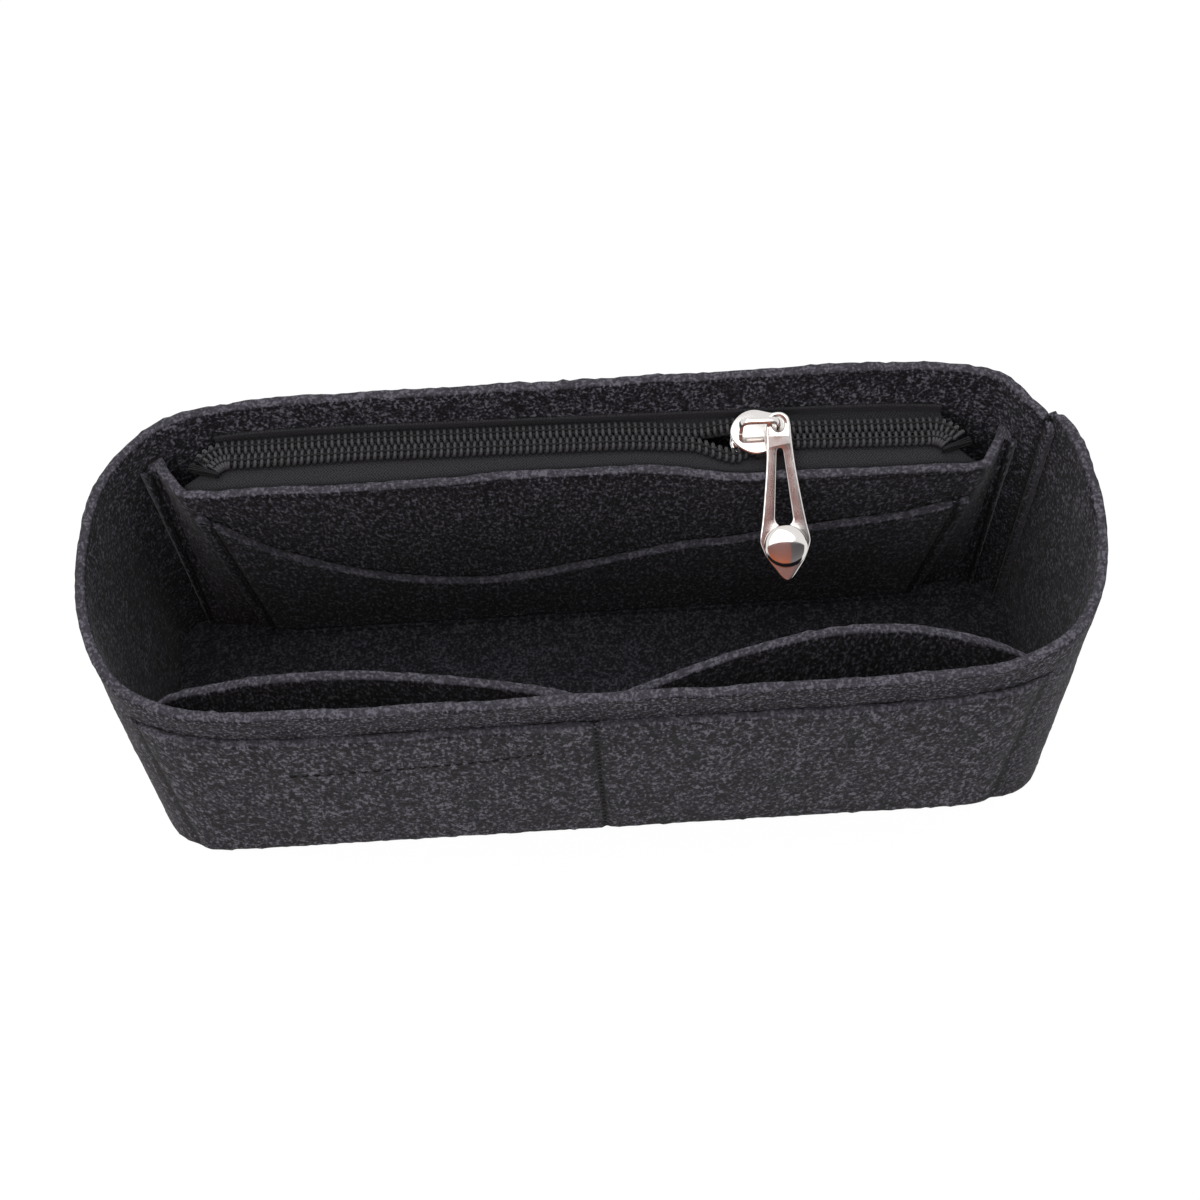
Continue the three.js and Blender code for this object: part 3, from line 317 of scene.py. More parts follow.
def felt_shell(place, columns, low, high, thick, seed, pinch=None, tall_share=FELT_TALL_SHARE):
    """One cut piece laid into place: its flat measures swell a little in lumps and waves, and pinch at seams.

    The pattern's measures are the flat ones, with the height taken by its share, because the fibres of a
    standing piece lie steeply.
    """
    along, up, through, out_up, out_through, cut = slab(columns, low, high, thick)
    swell = (LUMP_HEIGHT + EDGE_LUMP_HEIGHT * cut) * lumps(along, up - through, LUMP_SIZE, seed)
    swell = swell + np.maximum(out_up, 0) * RIM_WAVE * lumps(along, 0 * up, RIM_WAVE_SIZE, seed + 1)
    sway = WAVE_HEIGHT * lumps(along, up, WAVE_SIZE, seed + 2)
    if pinch is not None:
        drawn = pinch(along, up)
        swell = swell - drawn
        # The seam's pull takes the cut-edge measure below 0, which the felt look turns into painted shade for
        # the groove's shadow.
        cut = cut - drawn / THREAD_GROOVE
        sway = sway * np.clip(1 - drawn / THREAD_GROOVE, 0, 1)
    up, through = up + out_up * swell, through + out_through * swell
    points = place(along, up, through + sway * np.clip(up / WALL_HEIGHT, 0, 1))
    measures = np.stack([along + PIECE_SHIFT * seed, up * tall_share, through, cut], -1)
    return points, grid_faces(*up.shape), measures


class Wire:
    """A shader socket that can be used in sums: each operator adds one Math node."""

    def __init__(self, look, socket):
        self.look = look
        self.socket = socket

    def math(self, operation, *values):
        """A Math node on the values, which are numbers or wires."""
        return self.look.node("ShaderNodeMath", {"operation": operation}, dict(enumerate(values)))

    def __add__(self, other):
        return self.math("ADD", self, other)

    def __sub__(self, other):
        return self.math("SUBTRACT", self, other)

    def __rsub__(self, other):
        return self.math("SUBTRACT", other, self)

    def __mul__(self, other):
        return self.math("MULTIPLY", self, other)

    __radd__ = __add__
    __rmul__ = __mul__

    def between(self, low, high):
        """0 below low, 1 above high and a smooth step between them."""
        settings = {"interpolation_type": "SMOOTHSTEP"}
        return self.look.node("ShaderNodeMapRange", settings, {0: self, 1: low, 2: high})


class Look:
    """The nodes of a new material or world. node() is the one way to add a node."""

    def __init__(self, owner):
        owner.use_nodes = True
        self.owner = owner
        self.tree = owner.node_tree
        self.surface = self.tree.nodes.get("Principled BSDF")

    def node(self, kind, settings=None, values=None, output=0):
        """Adds a node: its settings are set first, then each socket gets its value or its wire."""
        node = self.tree.nodes.new(kind)
        for key, value in (settings or {}).items():
            setattr(node, key, value)
        for key, value in (values or {}).items():
            self.connect(node.inputs[key], value)
        return Wire(self, node.outputs[output])

    def connect(self, socket, value):
        """Links a wire to a socket, or gives the socket a number, a colour or a vector."""
        if isinstance(value, Wire):
            self.tree.links.new(value.socket, socket)
        elif socket.type == "RGBA":
            socket.default_value = (*value, 1)
        else:
            socket.default_value = value

    def set(self, **values):
        """Sets sockets of the surface shader: Base_Color is its socket Base Color."""
        for key, value in values.items():
            self.connect(self.surface.inputs[key.replace("_", " ")], value)
        return self

    def blend(self, factor, first, second):
        """The first colour where factor is 0 and the second where it is 1."""
        return self.node("ShaderNodeMix", {"data_type": "RGBA"}, {0: factor, 6: first, 7: second}, 2)

    def noise(self, at, scale, detail=2.0, roughness=0.5):
        """Smooth noise from 0 to 1, with scale grains to a metre."""
        values = {"Vector": at, "Scale": scale, "Detail": detail, "Roughness": roughness}
        return self.node("ShaderNodeTexNoise", {"noise_dimensions": "3D"}, values)


def new_look(name):
    """The nodes of a new material."""
    return Look(bpy.data.materials.new(name))


FELT_SPECKLE = 1.6
FELT_GRAIN = 0.8
FELT_CLOUD = 9.0
SPECKLE_WEIGHT, GRAIN_WEIGHT, CLOUD_WEIGHT = 0.5, 0.4, 0.1
FIBRE_LAYERS = [(20, 1.4, 0.55), (74, 1.4, 0.55), (128, 1.4, 0.55), (163, 1.3, 0.5)]
FIBRE_SHIFT = 7.3
FIBRE_SPAN, FIBRE_WEIGHT = (0.5, 0.85), 0.11
# Cut edges are paler, partly for pale fibre ends and partly as a painted highlight; seams get painted shade.
EDGE_FIBRES_AND_HIGHLIGHT, SEAM_GROOVE_SHADE = 0.045, 0.12
PALE_SPAN, FLECK_SPAN = (0.4, 0.62), (0.55, 0.68)
EDGE_FIBRE_AND_HIGHLIGHT_SHARE = 0.42
FUZZ_DEPTH, FUZZ_STRENGTH = 0.35, 0.25
FELT_COLOURS = (0.0042, 0.004, 0.0058), (0.05, 0.0465, 0.06), (0.15, 0.139, 0.17)
# The cut edges' colour: pale fibre ends together with a painted highlight.
EDGE_FIBRE_AND_HIGHLIGHT_COLOUR = (0.085, 0.08, 0.095)


def felt_look(name, deep, pale, fleck):
    """Needled felt: deep and pale fibres mixed into soft speckles, with single pale flecks.

    The tone is a sum of noises at two sizes and of fibres in four directions, each a noise stretched to a
    fibre's length and width. They lie in the piece's own flat measures, so no face shows streaks. Cut edges
    are paler, partly for their pale fibre ends and partly as a painted highlight where they face the light.
    Felt that a thread draws in is darker with painted shade, the shadow of the seam's groove.
    """
    look = new_look(name)
    at = look.node("ShaderNodeAttribute", {"attribute_name": "felt_at"}, {}, "Vector")
    cut = look.node("ShaderNodeAttribute", {"attribute_name": "cut_edge"}, {}, "Fac")
    speckle = look.noise(at, 1 / (FELT_SPECKLE * MM), 2.0, 0.7)
    grain = look.noise(at, 1 / (FELT_GRAIN * MM), 1.0)
    cloud = look.noise(at, 1 / (FELT_CLOUD * MM), 1.0)
    tone = speckle * SPECKLE_WEIGHT + grain * GRAIN_WEIGHT + cloud * CLOUD_WEIGHT
    for k, (angle, length, width) in enumerate(FIBRE_LAYERS):
        size = (length * MM, width * MM, width * MM)
        shift = (FIBRE_SHIFT * k * MM, 0, 0)
        values = {"Vector": at, "Location": shift, "Rotation": (0, 0, np.radians(angle)), "Scale": size}
        turned = look.node("ShaderNodeMapping", {"vector_type": "TEXTURE"}, values)
        fibre = look.noise(turned, 1.0, 0.0).between(*FIBRE_SPAN)
        tone = tone + fibre * (FIBRE_WEIGHT if k % 2 else -FIBRE_WEIGHT)
    # Cut edges turn paler, partly for pale fibre ends and partly as a painted highlight where they face the
    # light.
    edge = cut.between(0, 1)
    # Felt that a seam draws in gets painted shade, the shadow in the seam's groove.
    tone = tone + edge * EDGE_FIBRES_AND_HIGHLIGHT - cut.between(0, -1) * SEAM_GROOVE_SHADE
    colour = look.blend(tone.between(*PALE_SPAN), deep, pale)
    colour = look.blend(tone.between(*FLECK_SPAN), colour, fleck)
    colour = look.blend(edge * EDGE_FIBRE_AND_HIGHLIGHT_SHARE, colour, EDGE_FIBRE_AND_HIGHLIGHT_COLOUR)
    values = {"Strength": FUZZ_STRENGTH, "Distance": FUZZ_DEPTH * MM, "Height": tone}
    bump = look.node("ShaderNodeBump", {}, values)
    look.set(Base_Color=colour, Roughness=0.95, Normal=bump, Sheen_Weight=0.06, Sheen_Roughness=0.5)
    look.set(Specular_IOR_Level=0.15)
    return look.owner


charcoal_felt = felt_look("charcoal_felt", *FELT_COLOURS)


def round_corner(from_end):
    """The height of the strip's top near an end: a quarter circle of the lap's corner radius."""
    short = np.maximum(LAP_CORNER - from_end, 0)
    return WALL_HEIGHT - LAP_CORNER + np.sqrt(np.maximum(LAP_CORNER**2 - short**2, 0))


def wall_strip():
    """The strip from its first end, inside the lap, once round the outline and on over the lap.

    No point sinks below the floor, so the strip stands flat.
    """
    end = foot.length + LAP_WIDTH
    near = LAP_CORNER * (1 - np.cos(np.linspace(0, np.pi / 2, CORNER_STEPS)))
    middle = np.linspace(LAP_CORNER, end - LAP_CORNER, int(end / FELT_GRID))
    columns = np.concatenate([near[:-1], middle, end - near[-2::-1]])
    columns = with_seams(columns, LAP_WIDTH / 2, end - LAP_WIDTH / 2)
    shell = felt_shell(
        lambda along, up, through: wall_point(LAP_AT + along, np.maximum(up, 0), lap_depth(along) + through),
        columns,
        lambda along: 0 * along,
        lambda along: np.minimum(round_corner(along), round_corner(end - along)),
        WALL_FELT,
        seed=1,
        pinch=lambda along, up: groove(along - LAP_WIDTH / 2) + groove(along - end + LAP_WIDTH / 2),
        tall_share=WALL_TALL_SHARE,
    )
    mesh = make_mesh("wall_strip", [shell[:2]], shell[2])
    strip = add_piece("wall_strip", mesh, charcoal_felt, "tub", ["wall_band"])
    strip.visible_glossy = False


wall_strip()

# Base
# The bottom is an oblong of the same felt, with a darker, lower-contrast look that is painted shade for the
# inside of the tub. It is cut to the inside of the wall and sewn to the wall's foot.
BASE_FELT = 2.4
# The wall felt's colours, made darker and lower in contrast: painted shade for the tub's floor.
BASE_SHADED_COLOURS = (0.011, 0.0105, 0.0135), (0.038, 0.036, 0.044), (0.065, 0.061, 0.073)

shaded_base_felt = felt_look("shaded_base_felt", *BASE_SHADED_COLOURS)


def base_oblong():
    """A slab inside the wall's foot: its long edges are straight, and fall off along quarter circles."""
    inset = WALL_FELT - CUT_EDGE
    corner = FOOT_CORNER - inset
    half, deep = FOOT_LENGTH / 2 - inset, FOOT_WIDTH / 2 - inset

    def edge(along):
        """Half the base's depth: the straight edge, less a quarter circle's fall past the corner's start."""
        past = np.maximum(np.abs(along) - half + corner, 0)
        return deep - corner + np.sqrt(np.maximum(corner**2 - past**2, 0))

    shell = felt_shell(
        lambda along, up, through: np.stack([along, up, np.maximum(through, 0)], -1),
        -half * np.cos(np.linspace(0, np.pi, int(FOOT_LENGTH / FELT_GRID))),
        lambda along: -edge(along),
        edge,
        BASE_FELT,
        seed=2,
        tall_share=1.0,
    )
    mesh = make_mesh("base_oblong", [shell[:2]], shell[2])
    add_piece("base_oblong", mesh, shaded_base_felt, "tub", ["base_panel"])


base_oblong()

# Sewing thread
# Every seam is a lock stitch in black polyester: short stitches that lie on the felt, each drawn into a
# needle hole at both ends. The rows along the base, the laps and the pockets share these functions.
STITCH = 2.9
STITCH_GAP = 0.45
STITCH_WIDTH = 0.75
STITCH_HEIGHT = 0.45
STITCH_STEPS = 6
STITCH_SIDES = 6
STITCH_SWELL_POWER, STITCH_LIFT_POWER = 0.45, 0.7
STITCH_LIFT_SHARE, STITCH_SUNK_SHARE = 0.8, 0.2
LINE_STEP = 0.1
ROW_COUNT = 60
BASE_ROW_CORNER_SHARE = 0.75
INNER_FOOT = BASE_FELT + SEAM_GAP
SEAM_INSET = 2.4
SEAM_END = 3.0
THREAD_COLOUR = (0.006, 0.006, 0.007)
THREAD_TWIST = 0.35
PLY_SHARE, PLY_DISTORTION = 0.25, 1.5
PLY_DEPTH, PLY_PALER = 0.05, 2.2


def thread_look(name, thread_colour):
    """Twisted polyester: fine slanting ridges and a faint gloss."""
    look = new_look(name)
    at = look.node("ShaderNodeTexCoord", {}, {}, "Object")
    values = {"Vector": at, "Scale": PLY_SHARE / (THREAD_TWIST * MM), "Distortion": PLY_DISTORTION}
    ply = look.node("ShaderNodeTexWave", {}, values)
    bump = look.node("ShaderNodeBump", {}, {"Strength": 0.4, "Distance": PLY_DEPTH * MM, "Height": ply})
    colour = look.blend(ply, thread_colour, tuple(PLY_PALER * c for c in thread_colour))
    return look.set(Base_Color=colour, Roughness=0.7, Normal=bump, Specular_IOR_Level=0.2).owner


black_thread = thread_look("black_thread", THREAD_COLOUR)


def along_line(points, outs, pitch):
    """Resamples a line by its length, so that whole stitches fit, and gives a reader of points on it."""
    places = np.append(0, np.cumsum(np.linalg.norm(np.diff(points, axis=0), axis=1)))
    count = max(int(round(places[-1] / pitch)), 1)

    def read(place):
        """The point at a place along the line, and the unit way out of the felt there."""
        at = [np.interp(place, places, points[:, k]) for k in range(3)]
        out = np.stack([np.interp(place, places, outs[:, k]) for k in range(3)], -1)
        return np.stack(at, -1), out / np.linalg.norm(out, axis=-1, keepdims=True)

    return read, count, places[-1] / count


def stitch_row(name, points, outs, node):
    """Each stitch is a tube whose width, and height over the felt, follow powers of sin(pi q) along it."""
    read, count, pitch = along_line(points, outs, STITCH)
    q = np.linspace(0, 1, STITCH_STEPS + 1)
    place = (np.arange(count)[:, None] + (STITCH_GAP + q * (pitch - STITCH_GAP * 2)) / pitch) * pitch
    centre, out = read(place)
    step = read(place + LINE_STEP)[0] - read(place - LINE_STEP)[0]
    across = np.cross(step, out)
    across /= np.linalg.norm(across, axis=-1, keepdims=True)
    bow = np.sin(np.pi * q)
    swell = bow**STITCH_SWELL_POWER
    lift = STITCH_HEIGHT * (STITCH_LIFT_SHARE * bow**STITCH_LIFT_POWER - STITCH_SUNK_SHARE)
    angle = np.linspace(0, 2 * np.pi, STITCH_SIDES, endpoint=False)[:, None]
    wide = (swell * STITCH_WIDTH / 2)[:, None, None] * np.cos(angle)
    tall = lift[:, None, None] + (swell * STITCH_HEIGHT / 2)[:, None, None] * np.sin(angle)
    rings = centre[:, :, None] + across[:, :, None] * wide + out[:, :, None] * tall
    faces = grid_faces(STITCH_STEPS + 1, STITCH_SIDES)
    shells = [(stitch, faces) for stitch in rings]
    add_piece(name, make_mesh(name, shells), black_thread, "tub", [node])


def wall_row(name, node, along, low, high, depth, inside):
    """A row up the wall at a distance along it, on its inner or outer face."""
    up = np.linspace(low, high, ROW_COUNT)
    way = 1 if inside else -1
    points = wall_point(along(up), up, depth(up))
    outs = (wall_point(along(up), up, depth(up) + 1) - points) * way
    stitch_row(name, points, outs, node)


def lap_rows():
    """The two rows up the middle of the lap: one on the outer face and one on the inner face."""
    for name, depth, inside in [("outer", 0, False), ("inner", 2 * WALL_FELT + SEAM_GAP, True)]:
        wall_row(
            f"lap_stitches_{name}",
            f"lap_thread_{name}",
            lambda up: 0 * up + LAP_AT + LAP_WIDTH / 2,
            INNER_FOOT + SEAM_END,
            WALL_HEIGHT - LAP_CORNER - SEAM_INSET,
            lambda up, depth=depth: 0 * up + depth,
            inside,
        )


lap_rows()


def base_row():
    """The row round the bottom: an oblong with round corners, a little inside what stands on the base."""
    inset = WALL_FELT + SEAM_GAP + STITCH_WIDTH
    front = -FOOT_WIDTH / 2 + inset + SEAM_GAP + BASE_FELT
    back = FOOT_WIDTH / 2 - inset - 2 * (SEAM_GAP + BASE_FELT)
    oblong = round_oblong(FOOT_LENGTH - 2 * inset, back - front, FOOT_CORNER * BASE_ROW_CORNER_SHARE)
    oblong = np.vstack([oblong, oblong[:1]])
    points = np.column_stack([oblong[:, 0], oblong[:, 1] + (front + back) / 2, 0 * oblong[:, 0] + BASE_FELT])
    stitch_row("base_stitches", points, np.tile([0.0, 0, 1], (len(points), 1)), "base_seam_thread")


base_row()

# Outer pocket
# A thinner felt panel lies flat on the outside of the front wall. The seams at its two ends and down its
# middle go through the wall and the pockets inside, and make two slip pockets of it.
OUTER_FELT = 1.8
OUTER_HEIGHT = 83.0
OUTER_FOOT = 0.8
OUTER_LEFT = 112.0
OUTER_RIGHT = 107.0
INNER_CENTRE = 2.0
OUTER_LIE = 0.05
OUTER_THICK = OUTER_FELT + SEAM_GAP - OUTER_LIE
OUTER_CORNER = 5.0
OUTER_GRID_SHARE = 1.2
PRESSED_SHARE, PRESSED_WIDTH = 0.65, 5.5
SHORT_ROW_SHARES = [(-0.686, 0.735), (-0.501, 0.748), (-0.317, 0.763), (-0.211, 0.785), (-0.123, 0.82)]
SHORT_ROW_COUNT = 40


def outer_seam(side, up):
    """Where a seam runs, as a distance along the wall: inside each end, and the middle one leans a little."""
    if side == 0:
        return -INNER_CENTRE * up / WALL_HEIGHT
    return (SEAM_INSET - OUTER_LEFT if side < 0 else OUTER_RIGHT - SEAM_INSET) + 0 * up


def pressed(to_end):
    """The share of its thickness that the felt keeps at a distance from its sewn end."""
    return 1 - PRESSED_SHARE * np.exp(-((to_end / PRESSED_WIDTH) ** 2))


def short_row_up(across):
    """The height of the second row on the left pocket, as a line through its points."""
    shares = np.array(SHORT_ROW_SHARES)
    return np.interp(across, shares[:, 0] * OUTER_LEFT, shares[:, 1] * OUTER_HEIGHT)


def outer_thickness(side):
    """The panel's thickness at a seam: whole at the middle one, and pressed at those near the ends."""
    return OUTER_THICK if side == 0 else OUTER_THICK * pressed(SEAM_INSET)


def to_outer_end(along):
    """How far a place on the panel is from its nearer end."""
    return np.minimum(along + OUTER_LEFT, OUTER_RIGHT - along)


def outer_pocket():
    """The panel stands off the wall by its pressed thickness, with its foot's corners rounded."""

    def place(along, up, through):
        """The wall's outer face, moved out by the share of the thickness that is kept."""
        return wall_point(along, up, -OUTER_LIE - through * pressed(to_outer_end(along)))

    def pinch(along, up):
        """The grooves of the three seams, added up."""
        return sum(groove(along - outer_seam(side, up)) for side in (-1, 0, 1))

    def low(along):
        """The foot's edge: level, and a quarter circle up at each end."""
        short = np.maximum(OUTER_CORNER - to_outer_end(along), 0)
        return OUTER_FOOT + OUTER_CORNER - np.sqrt(np.maximum(OUTER_CORNER**2 - short**2, 0))

    step = OUTER_CORNER * (1 - np.cos(np.linspace(0, np.pi / 2, CORNER_STEPS + 1)))
    left, right = OUTER_CORNER - OUTER_LEFT, OUTER_RIGHT - OUTER_CORNER
    middle = np.linspace(left, right, int((right - left) / FELT_GRID * OUTER_GRID_SHARE))
    columns = np.concatenate([step[:-1] - OUTER_LEFT, middle, (OUTER_RIGHT - step[:-1])[::-1]])
    shell = felt_shell(
        place,
        with_seams(columns, *(outer_seam(side, 0.0) for side in (-1, 0, 1))),
        low,
        lambda along: 0 * along + OUTER_HEIGHT,
        OUTER_THICK,
        seed=3,
        pinch=pinch,
    )
    mesh = make_mesh("outer_pocket", [shell[:2]], shell[2])
    add_piece("outer_pocket", mesh, charcoal_felt, "tub", ["outer_pocket_panel"])


def outer_rows():
    """Rows on the panel's face: up its three seams, and a short second one across the left pocket."""
    for side, name in [(-1, "left"), (0, "centre"), (1, "right")]:
        wall_row(
            f"outer_stitches_{name}",
            f"outer_seam_thread_{name}",
            lambda up, side=side: outer_seam(side, up),
            OUTER_FOOT + (SEAM_INSET if side == 0 else OUTER_CORNER),
            OUTER_HEIGHT - SEAM_INSET / 2,
            lambda up, side=side: 0 * up - OUTER_LIE - outer_thickness(side) + THREAD_GROOVE,
            inside=False,
        )
    across = np.linspace(SHORT_ROW_SHARES[0][0], SHORT_ROW_SHARES[-1][0], SHORT_ROW_COUNT) * OUTER_LEFT
    points = wall_point(across, short_row_up(across), -SEAM_GAP - OUTER_FELT - THREAD_GROOVE / 3)
    outs = points - wall_point(across, short_row_up(across), 0)
    stitch_row("outer_stitches_short", points, outs, "outer_short_row_thread")


outer_pocket()
outer_rows()

# Front inner pockets
# A felt strip along the inside of the front wall is sewn flat at both ends and in the middle. It is cut
# longer than the wall there, so that each half stands off in a bulge that is widest at the top.
POCKET_FELT = 2.4
INNER_HEIGHT = 83.0
INNER_LEFT = 112.0
INNER_RIGHT = 108.0
SEWN_TAB = 4.0
BULGES = {-1: (11.5, 0.71, 0.72), 1: (15.4, 1.36, 0.65)}
INNER_SEAMS = {
    -1: (-INNER_LEFT, -INNER_LEFT + SEWN_TAB),
    0: (-INNER_CENTRE, INNER_CENTRE),
    1: (INNER_RIGHT - SEWN_TAB, INNER_RIGHT),
}
INNER_HALVES = {-1: (INNER_SEAMS[-1][1], INNER_SEAMS[0][0]), 1: (INNER_SEAMS[0][1], INNER_SEAMS[1][0])}
BULGE_COLUMNS = 90


def inner_bulge(along):
    """Between two seams the strip stands off by depth * sin(pi s^skew)^fullness, s from the left seam."""
    total = 0
    for side, (left, right) in INNER_HALVES.items():
        depth, skew, fullness = BULGES[side]
        share = np.clip((along - left) / (right - left), 0, 1)
        total = total + depth * np.maximum(np.sin(np.pi * share**skew), 0) ** fullness
    return total


def inner_depth(along, up):
    """The depth of the strip's hidden face: flat on the wall at its foot, at full bulge at its top."""
    share = np.clip((up - INNER_FOOT) / (INNER_HEIGHT - INNER_FOOT), 0, 1)
    return WALL_FELT + SEAM_GAP + inner_bulge(along) * share


def front_pockets():
    """The strip stands off the wall by its bulge. Its columns follow a cosine, closer towards the seams."""
    steps = []
    for left, right in INNER_HALVES.values():
        steps.append((left + right) / 2 - (right - left) / 2 * np.cos(np.linspace(0, np.pi, BULGE_COLUMNS)))
    columns = np.concatenate([[-INNER_LEFT], *steps, [INNER_RIGHT]])
    columns = with_seams(columns, *(sum(seam) / 2 for seam in INNER_SEAMS.values()))

    def pinch(along, up):
        """The grooves up the middle of the three sewn tabs."""
        return sum(groove(along - sum(seam) / 2) for seam in INNER_SEAMS.values())

    shell = felt_shell(
        lambda along, up, through: wall_point(along, up, inner_depth(along, up) + through),
        columns,
        lambda along: 0 * along + INNER_FOOT,
        lambda along: 0 * along + INNER_HEIGHT,
        POCKET_FELT,
        seed=4,
        pinch=pinch,
    )
    mesh = make_mesh("front_pockets", [shell[:2]], shell[2])
    add_piece("front_pockets", mesh, charcoal_felt, "tub", ["front_inner_pocket"])
    for side, name in [(-1, "left"), (0, "centre"), (1, "right")]:
        middle = sum(INNER_SEAMS[side]) / 2
        wall_row(
            f"inner_stitches_{name}",
            f"inner_seam_thread_{name}",
            lambda up, middle=middle: 0 * up + middle,
            INNER_FOOT + SEAM_END,
            INNER_HEIGHT - SEAM_INSET / 2,
            lambda up, middle=middle: inner_depth(middle, up) + POCKET_FELT - THREAD_GROOVE,
            inside=True,
        )


front_pockets()

# Zip pocket panel
# A felt panel stands in front of the back wall and makes the zipped pocket. It runs from the left end wall
# round a corner, along the zip and back to the right end wall, and a flange at each end is sewn to the wall.
ZIP_LEVEL = 80.9
ZIP_DROP_SHARE = 0.026
ZIP_DRIFT_SHARE = 0.006
SLIDER_LENGTH = 14.4
SLIDER_WIDTH = 12.8
SLIDER_AT = 43.5
COIL_HEIGHT = 2.2
WALL_SPACE = 0.75
PANEL_SPACE = 0.3
PANEL_ABOVE = 1.3
PANEL_RIGHT_DEPTH = 3.6
PANEL_LEFT_DEPTH = 1.5
FLANGE_WIDTH = 6.0
MEET_TOP_SHARE = 0.317
MEET_FOOT_SHARE = 0.325
PANEL_END_SHARE = 0.872
PANEL_REACH_SHARE = 0.8
PANEL_CORNER_SHARES = [(0.372, 0.6), (0.614, 0.94)]
FLANGE_SEAM_SHARE = -0.65
FLANGE_REAR_SHARE = 0.35
FLANGE_COLUMNS = 14
PANEL_RIGHT_START_SHARE, PANEL_RIGHT_SPAN_SHARE, PANEL_LEFT_SPAN_SHARE = 2.1, 1.9, 3.5
PANEL_TOP_COUNT = 17
PANEL_STEP_SHARE = 0.004
LINE_POWER = 0.5
TAPE_ROW_SHARES, TAPE_ROW_COUNT = (4 / 60, 56 / 60), 200

zip_back = wall_point(foot.length / 2, ZIP_LEVEL + COIL_HEIGHT, WALL_FELT)[1] - WALL_SPACE - SLIDER_WIDTH / 2
zip_middle = np.array([0, zip_back, ZIP_LEVEL])
drop, drift = np.arctan(ZIP_DROP_SHARE), -np.arctan(ZIP_DRIFT_SHARE)
tip_down = np.array([[np.cos(drop), 0, np.sin(drop)], [0, 1, 0], [-np.sin(drop), 0, np.cos(drop)]])
turn_in = np.array([[np.cos(drift), -np.sin(drift), 0], [np.sin(drift), np.cos(drift), 0], [0, 0, 1]])
zip_axes = tip_down @ turn_in


def zip_point(x, v, w):
    """A point of the zip's own frame: x along the chain, v to the back, w up."""
    return zip_middle + np.stack(np.broadcast_arrays(x, v, w), -1) @ zip_axes.T


def to_zip(points):
    """The zip's own x, v and w of points in the part's frame."""
    return (points - zip_middle) @ zip_axes


def smooth_line(points, power, count=24):
    """A Catmull-Rom line through points: a cubic for each span, with slopes from the distances ^ power."""
    points = np.asarray(points, float)
    points = np.vstack([2 * points[0] - points[1], points, 2 * points[-1] - points[-2]])
    gaps = np.linalg.norm(np.diff(points, axis=0), axis=1)[:, None] ** power
    line = []
    for k in range(1, len(points) - 2):
        before, start, stop, after = points[k - 1 : k + 3]
        g0, g1, g2 = gaps[k - 1 : k + 2]
        first = ((start - before) / g0 - (stop - before) / (g0 + g1) + (stop - start) / g1) * g1
        second = ((stop - start) / g1 - (after - start) / (g1 + g2) + (after - stop) / g2) * g1
        t = np.linspace(0, 1, count, endpoint=k == len(points) - 3)[:, None]
        cubic = (2 * start - 2 * stop + first + second) * t**3
        line.append(start + first * t + (3 * (stop - start) - 2 * first - second) * t**2 + cubic)
    return np.vstack(line)


def panel_top(x):
    """The height of the panel's top edge, a little above the tapes at each x of the zip."""
    return zip_point(x, 0, PANEL_ABOVE)[..., 2]


def panel_end_level(side):
    """The height of the top edge where the panel meets an end wall."""
    return panel_top(side * FOOT_LENGTH / 2 * PANEL_END_SHARE)


def panel_front(x):
    """The middle line of the panel's top: it stands forward to the right of the slider and a little left."""
    start, span = PANEL_RIGHT_START_SHARE * SLIDER_LENGTH, PANEL_RIGHT_SPAN_SHARE * SLIDER_LENGTH
    right = ease((x - SLIDER_AT + start) / span)
    left = ease((-x - SLIDER_LENGTH / 2) / (PANEL_LEFT_SPAN_SHARE * SLIDER_LENGTH))
    line = zip_back - SLIDER_WIDTH / 2 - PANEL_SPACE - POCKET_FELT / 2
    return line - PANEL_RIGHT_DEPTH * right - PANEL_LEFT_DEPTH * left


def on_wall(along, up):
    """A point where the middle of a felt piece lies on the wall's inside."""
    return wall_point(along, up, inside_depth(along) + SEAM_GAP + POCKET_FELT / 2)


def panel_top_line():
    """The top's middle line: from one end wall round a corner, straight along the zip, and to the other."""
    x = np.linspace(-1, 1, PANEL_TOP_COUNT) * FOOT_LENGTH / 2 * PANEL_REACH_SHARE
    straight = np.stack([x, panel_front(x), panel_top(x)], -1)
    sides = []
    for side, last in [(-1, straight[0]), (1, straight[-1])]:
        end = on_wall(side * MEET_TOP_SHARE * foot.length, panel_end_level(side))
        corner = [end]
        for x_share, y_share in PANEL_CORNER_SHARES:
            x, y = end[0] + (last[0] - end[0]) * x_share, end[1] + (last[1] - end[1]) * y_share
            corner.append([x, y, panel_top(x)])
        sides.append(corner)
    return smooth_line([*sides[0], *straight, *sides[1][::-1]], LINE_POWER)


panel_line = panel_top_line()
panel_places = np.append(0, np.cumsum(np.linalg.norm(np.diff(panel_line, axis=0), axis=1)))
panel_length = panel_places[-1]


def panel_top_point(share):
    """The point of the top's middle line at a share of its length."""
    place = np.clip(share, 0, 1) * panel_length
    return np.stack([np.interp(place, panel_places, panel_line[:, k]) for k in range(3)], -1)


def panel_foot_point(share):
    """The foot lies straight along the back wall's foot and curves to the end walls."""
    share = np.clip(share, 0, 1)
    left, right = (on_wall(side * MEET_FOOT_SHARE * foot.length, INNER_FOOT) for side in (-1, 1))
    y = FOOT_WIDTH / 2 - WALL_FELT - SEAM_GAP - POCKET_FELT / 2
    x = left[0] + (right[0] - left[0]) * share
    reach = np.minimum(share, 1 - share) * (right[0] - left[0])
    end = np.where(share < 0.5, left[1], right[1])
    return np.stack([x, end + (y - end) * ease(reach / FOOT_CORNER), 0 * x + INNER_FOOT], -1)


